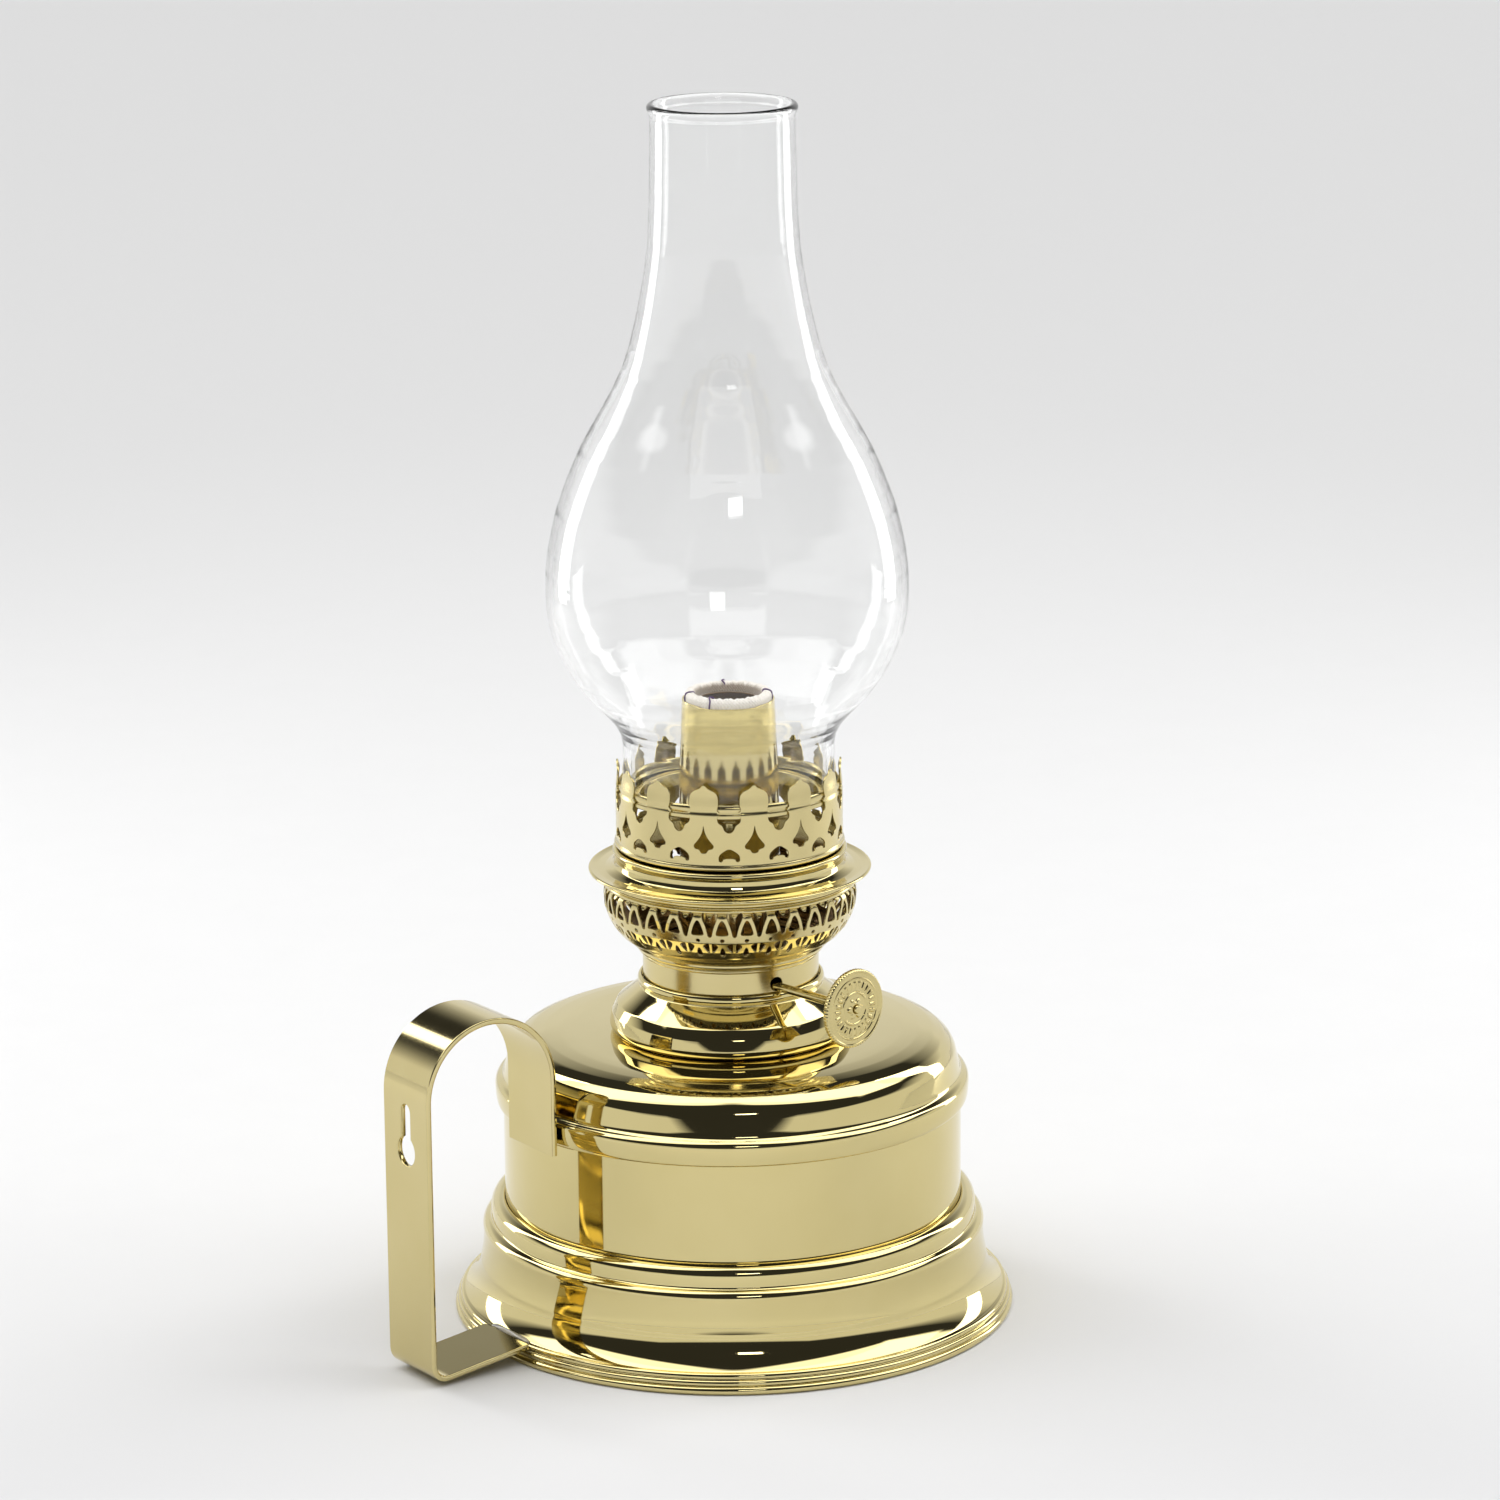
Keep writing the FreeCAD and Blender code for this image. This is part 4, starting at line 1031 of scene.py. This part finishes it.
PRONGS = 14
CROWN_LOW, CROWN_TOP = reach("gallery_crown")[:2]
CROWN = 28.0
CREASE = CROWN_TOP - 6.9
CROWN_TURN = radians(-90.0 - 10.1)


def gallery_crown():
    """The pierced band and its prongs, cut from one sheet: the gaps between the prongs are holes
    that reach past the sheet's top."""
    foot = inset_points(CROWN, CROWN_LOW, [
        (0.65, 0.0), (0.65, 5.4), (0.1, 5.9), (-0.5, 6.75, "arc"), (0.1, 7.5), (0.0, 8.0),
    ])
    prong = inset_points(CROWN, CREASE, [(0.0, -0.25), (0.28, 0.0), (0.1, 0.3), (0.15, 1.8), (0.4, 4.2)])
    curve = Curve(foot + prong + [(CROWN - 0.3, CROWN_TOP)], closed=False, soft=0.14)
    unit = TAU * CROWN / PRONGS
    centre = unit / 2

    def on_curve(outline):
        over = curve.along[-1] - CROWN_TOP
        return [(centre + x, curve.reach(z) if z <= CROWN_TOP else z + over) for x, z in outline]

    tip = inset_points(centre, CROWN_TOP, [
        (0.0, 0.6), (0.35, 0.05), (0.75, -0.55), (1.6, -1.0), (2.6, -1.4), (3.35, -2.2), (3.65, -3.3),
    ])
    waist = inset_points(centre, CREASE, [(3.6, 1.9), (3.2, 1.0)])
    gap = both_sides(tip + waist + [
        (2.35, CREASE + 0.3), (2.35, CREASE - 0.1), (2.95, CREASE - 0.9), (2.75, CREASE - 2.2),
        (1.5, CREASE - 2.9), (1.25, CREASE - 4.1), (0.0, CREASE - 4.9),
    ])
    roof = both_sides([(x, CROWN_LOW + z) for x, z in (
        (0.0, 11.7), (1.5, 10.9), (2.6, 9.9), (2.6, 8.4), (1.6, 8.4), (1.5, 9.2))])
    bell = both_sides([(x, CREASE - z) for x, z in (
        (0.0, 2.6), (0.25, 4.4), (0.95, 6.0), (1.9, 7.2), (2.6, 8.0), (2.2, 8.8), (1.1, 8.9), (0.75, 9.9))])
    quarter = unit / 4
    holes = [
        moved(smooth_loop(on_curve(gap), 2), -quarter),
        moved(smooth_loop(on_curve(roof), 1), -quarter),
        moved(smooth_loop(on_curve(bell), 2), quarter),
    ]
    turn = CROWN_TURN - TAU / PRONGS * 0.25
    sheet_ring("gallery_crown", "pierced", curve, unit, PRONGS, turn, holes, 0.7, 0.5, 0.06, SATIN_BRASS,
               "gallery")


def crown_shelf():
    """The ring that carries the chimney, with the bead that shows between the prongs."""
    low, high, wide = reach("crown_shelf")
    bore = 21.0
    bead = inset_points(wide, high, [
        (0.6, -0.6), (0.1, -0.3), (0.1, 0.6), (0.35, 0.9), (0.0, 2.0, "arc"), (0.6, 3.1), (1.05, 2.3),
        (0.9, 0.2),
    ])
    lathe("crown_shelf", "ring", [
        (bore, low), (bore + 0.6, low), (bore + 1.4, high - 0.6), *bead, (bore + 1.0, high),
    ], SATIN_BRASS, "gallery", soft=0.12)


def chimney_glass():
    """Foot, bulb and neck, with a rolled rim.  It casts no shadow, so what it holds is lit."""
    low, high, bulb = reach("chimney_glass")
    wall = 1.8
    foot = [(radius, low + rise) for radius, rise in (
        (26.0, 8.0), (26.05, 12.5), (26.6, 15.0), (28.2, 17.9), (30.9, 20.9), (34.9, 25.0), (38.6, 30.2),
        (41.1, 35.3))]
    outside = foot + inset_points(bulb, low, [
        (1.25, 40.3), (0.2, 46.0), (0.0, 51.0), (0.15, 56.0), (0.75, 61.0), (1.65, 65.5), (2.85, 70.5),
        (4.6, 75.6), (6.4, 80.2), (8.6, 85.2), (11.3, 90.3), (14.2, 95.2), (16.9, 100.2), (19.2, 105.0),
        (20.95, 110.0), (22.25, 115.0), (23.4, 120.0), (24.35, 125.0), (25.2, 130.0), (25.9, 135.0),
        (26.5, 145.0),
    ]) + [(bulb - 26.85, high - 6.0), (bulb - 26.9, high - 0.6)]
    within = [(radius - wall, height) for radius, height in reversed(outside)]
    rim = inset_points(bulb, high, [(26.5, 0.1), (26.1, 1.2), (26.9, 2.4, "arc"), (28.3, 1.6), (28.6, 0.5)])
    glass = lathe("chimney_glass", "bulb", [
        (25.5, low), (26.0, low + 0.6), *outside, *rim, *within, (24.2, low + 0.6), (24.7, low),
    ], GLASS, "chimney", soft=0.5, turn=1.2, longest=2.0, segments=256)
    glass.visible_shadow = False


# ------ floor and light

FLOOR_SIZE = 24.0
ROOM_LIGHT = 0.035          # the dark room before the lamp
WALL_LIGHT = 0.88           # the pale wall behind it and at its sides
BOX_LIGHT = 1.9             # the boxes overhead, towards the back
STRIP_LIGHT = 2.5           # the strip straight overhead, across the view
PANE_LIGHT = 7.0            # a small window in front
PANE_SIDE, PANE_RISE = 0.11, 0.53


def make_floor():
    """A pale floor with painted shade: a little greyer under the lamp's front and far behind."""
    half = FLOOR_SIZE / 2
    corners = [(-half, -half, 0), (half, -half, 0), (half, half, 0), (-half, half, 0)]
    mesh = bpy.data.meshes.new("floor")
    mesh.from_pydata(corners, [], [(0, 1, 2, 3)])
    floor = add_object("floor", mesh)
    material, nodes = new_material("floor_paper")
    place = nodes.spot()
    ahead = nodes.dot(place, camera_axes()[1])
    grain = nodes.noise(place, 40.0, 3.0, 0.6)
    pale = nodes.blend(grain, (0.765, 0.765, 0.765), (0.785, 0.785, 0.785))
    # Painted shade: the floor is greyer just in front of the lamp.
    front_shade = nodes.product(nodes.spread(ahead, 0.0, 1.0, 0.1, -0.12),
                        nodes.spread(ahead, 0.0, 1.0, -0.24, -0.14))
    near = nodes.blend(front_shade, pale, (0.715, 0.715, 0.72))
    # Painted shade: the floor greys far behind the lamp.
    finish_material(material, nodes, {
        "Base Color": nodes.blend(nodes.spread(ahead, 0.0, 1.0, 0.4, 1.1), near, (0.735, 0.735, 0.735)),
        "Roughness": nodes.spread(grain, 0.9, 1.0),
        "Specular IOR Level": 0.0,
    })
    mesh.materials.append(material)


def make_world():
    """Soft boxes and a strip overhead, a pale wall round the lamp, and a dark room before it.
    The axes are the camera's: side to its right, ahead away from it, and turn is ahead's share of
    the level part of a direction."""
    right, away = camera_axes()
    world = bpy.data.worlds.new("studio")
    bpy.context.scene.world = world
    world.use_nodes = True
    nodes = Nodes(world.node_tree)
    place = nodes.add("TexCoord").outputs["Generated"]
    side, ahead = nodes.dot(place, right), nodes.dot(place, away)
    rise = nodes.add("SeparateXYZ", {0: place}).outputs[2]
    level = nodes.math("SQRT", nodes.math("SUBTRACT", 1.0, nodes.product(rise, rise)))
    turn = nodes.math("DIVIDE", ahead, nodes.math("MAXIMUM", level, 0.001))

    wall_near = nodes.spread(turn, 0.03, 0.15, -1.0, -0.84)
    wall_far = nodes.spread(turn, 0.0, 0.13, -0.7, 0.9)
    wall_low = nodes.math("ADD", wall_near, wall_far)
    wall_high = nodes.math("ADD", wall_low, nodes.spread(turn, 0.05, 0.28, -0.5, 0.9))
    wall = nodes.spread(rise, WALL_LIGHT, ROOM_LIGHT, wall_low, wall_high)

    lid = nodes.spread(turn, 0.955, 0.55, -1.0, -0.25)
    over_lid = nodes.spread(rise, 0.0, BOX_LIGHT, lid, nodes.math("ADD", lid, 0.04))
    boxes = nodes.product(over_lid, nodes.spread(turn, 1.0, 0.0, 0.62, 0.70))
    strip = nodes.product(nodes.spread(ahead, 0.0, 1.0, -0.24, -0.18),
                          nodes.spread(ahead, STRIP_LIGHT, 0.0, 0.28, 0.34),
                          nodes.spread(rise, 0.0, 1.0, 0.52, 0.57))
    pane = nodes.product(nodes.window(side, PANE_SIDE, 0.08), nodes.window(rise, PANE_RISE, 0.03),
                         nodes.spread(ahead, 1.0, 0.0, -0.1, 0.0), PANE_LIGHT)

    brightest = wall
    for glow in (boxes, strip, pane):
        brightest = nodes.math("MAXIMUM", brightest, glow)
    light = nodes.add("Background", {"Color": (1, 1, 1, 1), "Strength": brightest})
    nodes.add("OutputWorld", {"Surface": light.outputs[0]})


def area_light(name, place, target, width, height, power):
    light = bpy.data.lights.new(name, "AREA")
    light.shape = "RECTANGLE"
    light.size, light.size_y = width, height
    light.energy = power
    lamp = add_object(name, light)
    lamp.location = place
    lamp.rotation_euler = (Vector(target) - Vector(place)).to_track_quat("-Z", "Y").to_euler()
    return lamp


def make_lights():
    """Two tall boxes behind the lamp's sides, and a fill from the front that only matt surfaces show."""
    right, away = camera_axes()
    middle = Vector((0, 0, 0.52))
    for name, way in (("left_box", -1), ("right_box", 1)):
        area_light(name, right * (0.66 * way) + away * 0.46 + middle, middle, 0.17, 1.0, 1.8)
    fill = area_light("fill", away * -1.6 + Vector((0, 0, 1.9)), (0, 0, 0), 2.2, 1.0, 11.0)
    fill.visible_glossy = False


# ------ everything

for build in (base_skirt, tank_wall, tank_cover, tank_collar, collar_bush, handle_strap):
    build()
solder_bead("handle_solder_top", 0.25, 3)
solder_bead("handle_solder_foot", 0.35, 8)
for build in (burner_thread, burner_seal, burner_band, burner_basket, flange_ring, outer_wick_tube,
              inner_air_tube, wick_shaft, wick_knob, wick, wick_stitches, gallery_crown, crown_shelf,
              chimney_glass, make_floor, make_world, make_lights):
    build()

# Hidden pieces that keep their CAD shapes.
CAD_LOOKS = {
    "tank_bottom": MIRROR_BRASS,
    # seat_ring, burner_floor and air_duct are coloured with painted shade.
    "seat_ring": SHADE_BRASS,
    "burner_floor": SHADE_BRASS,
    "air_duct": SHADE_BRASS,
    "raiser_bracket": TURNED_BRASS,
    "wick_wheel": TURNED_BRASS,
}
for node_name, look in CAD_LOOKS.items():
    cad = frame["nodes"][node_name]
    cad.data.materials.clear()
    cad.data.materials.append(look)
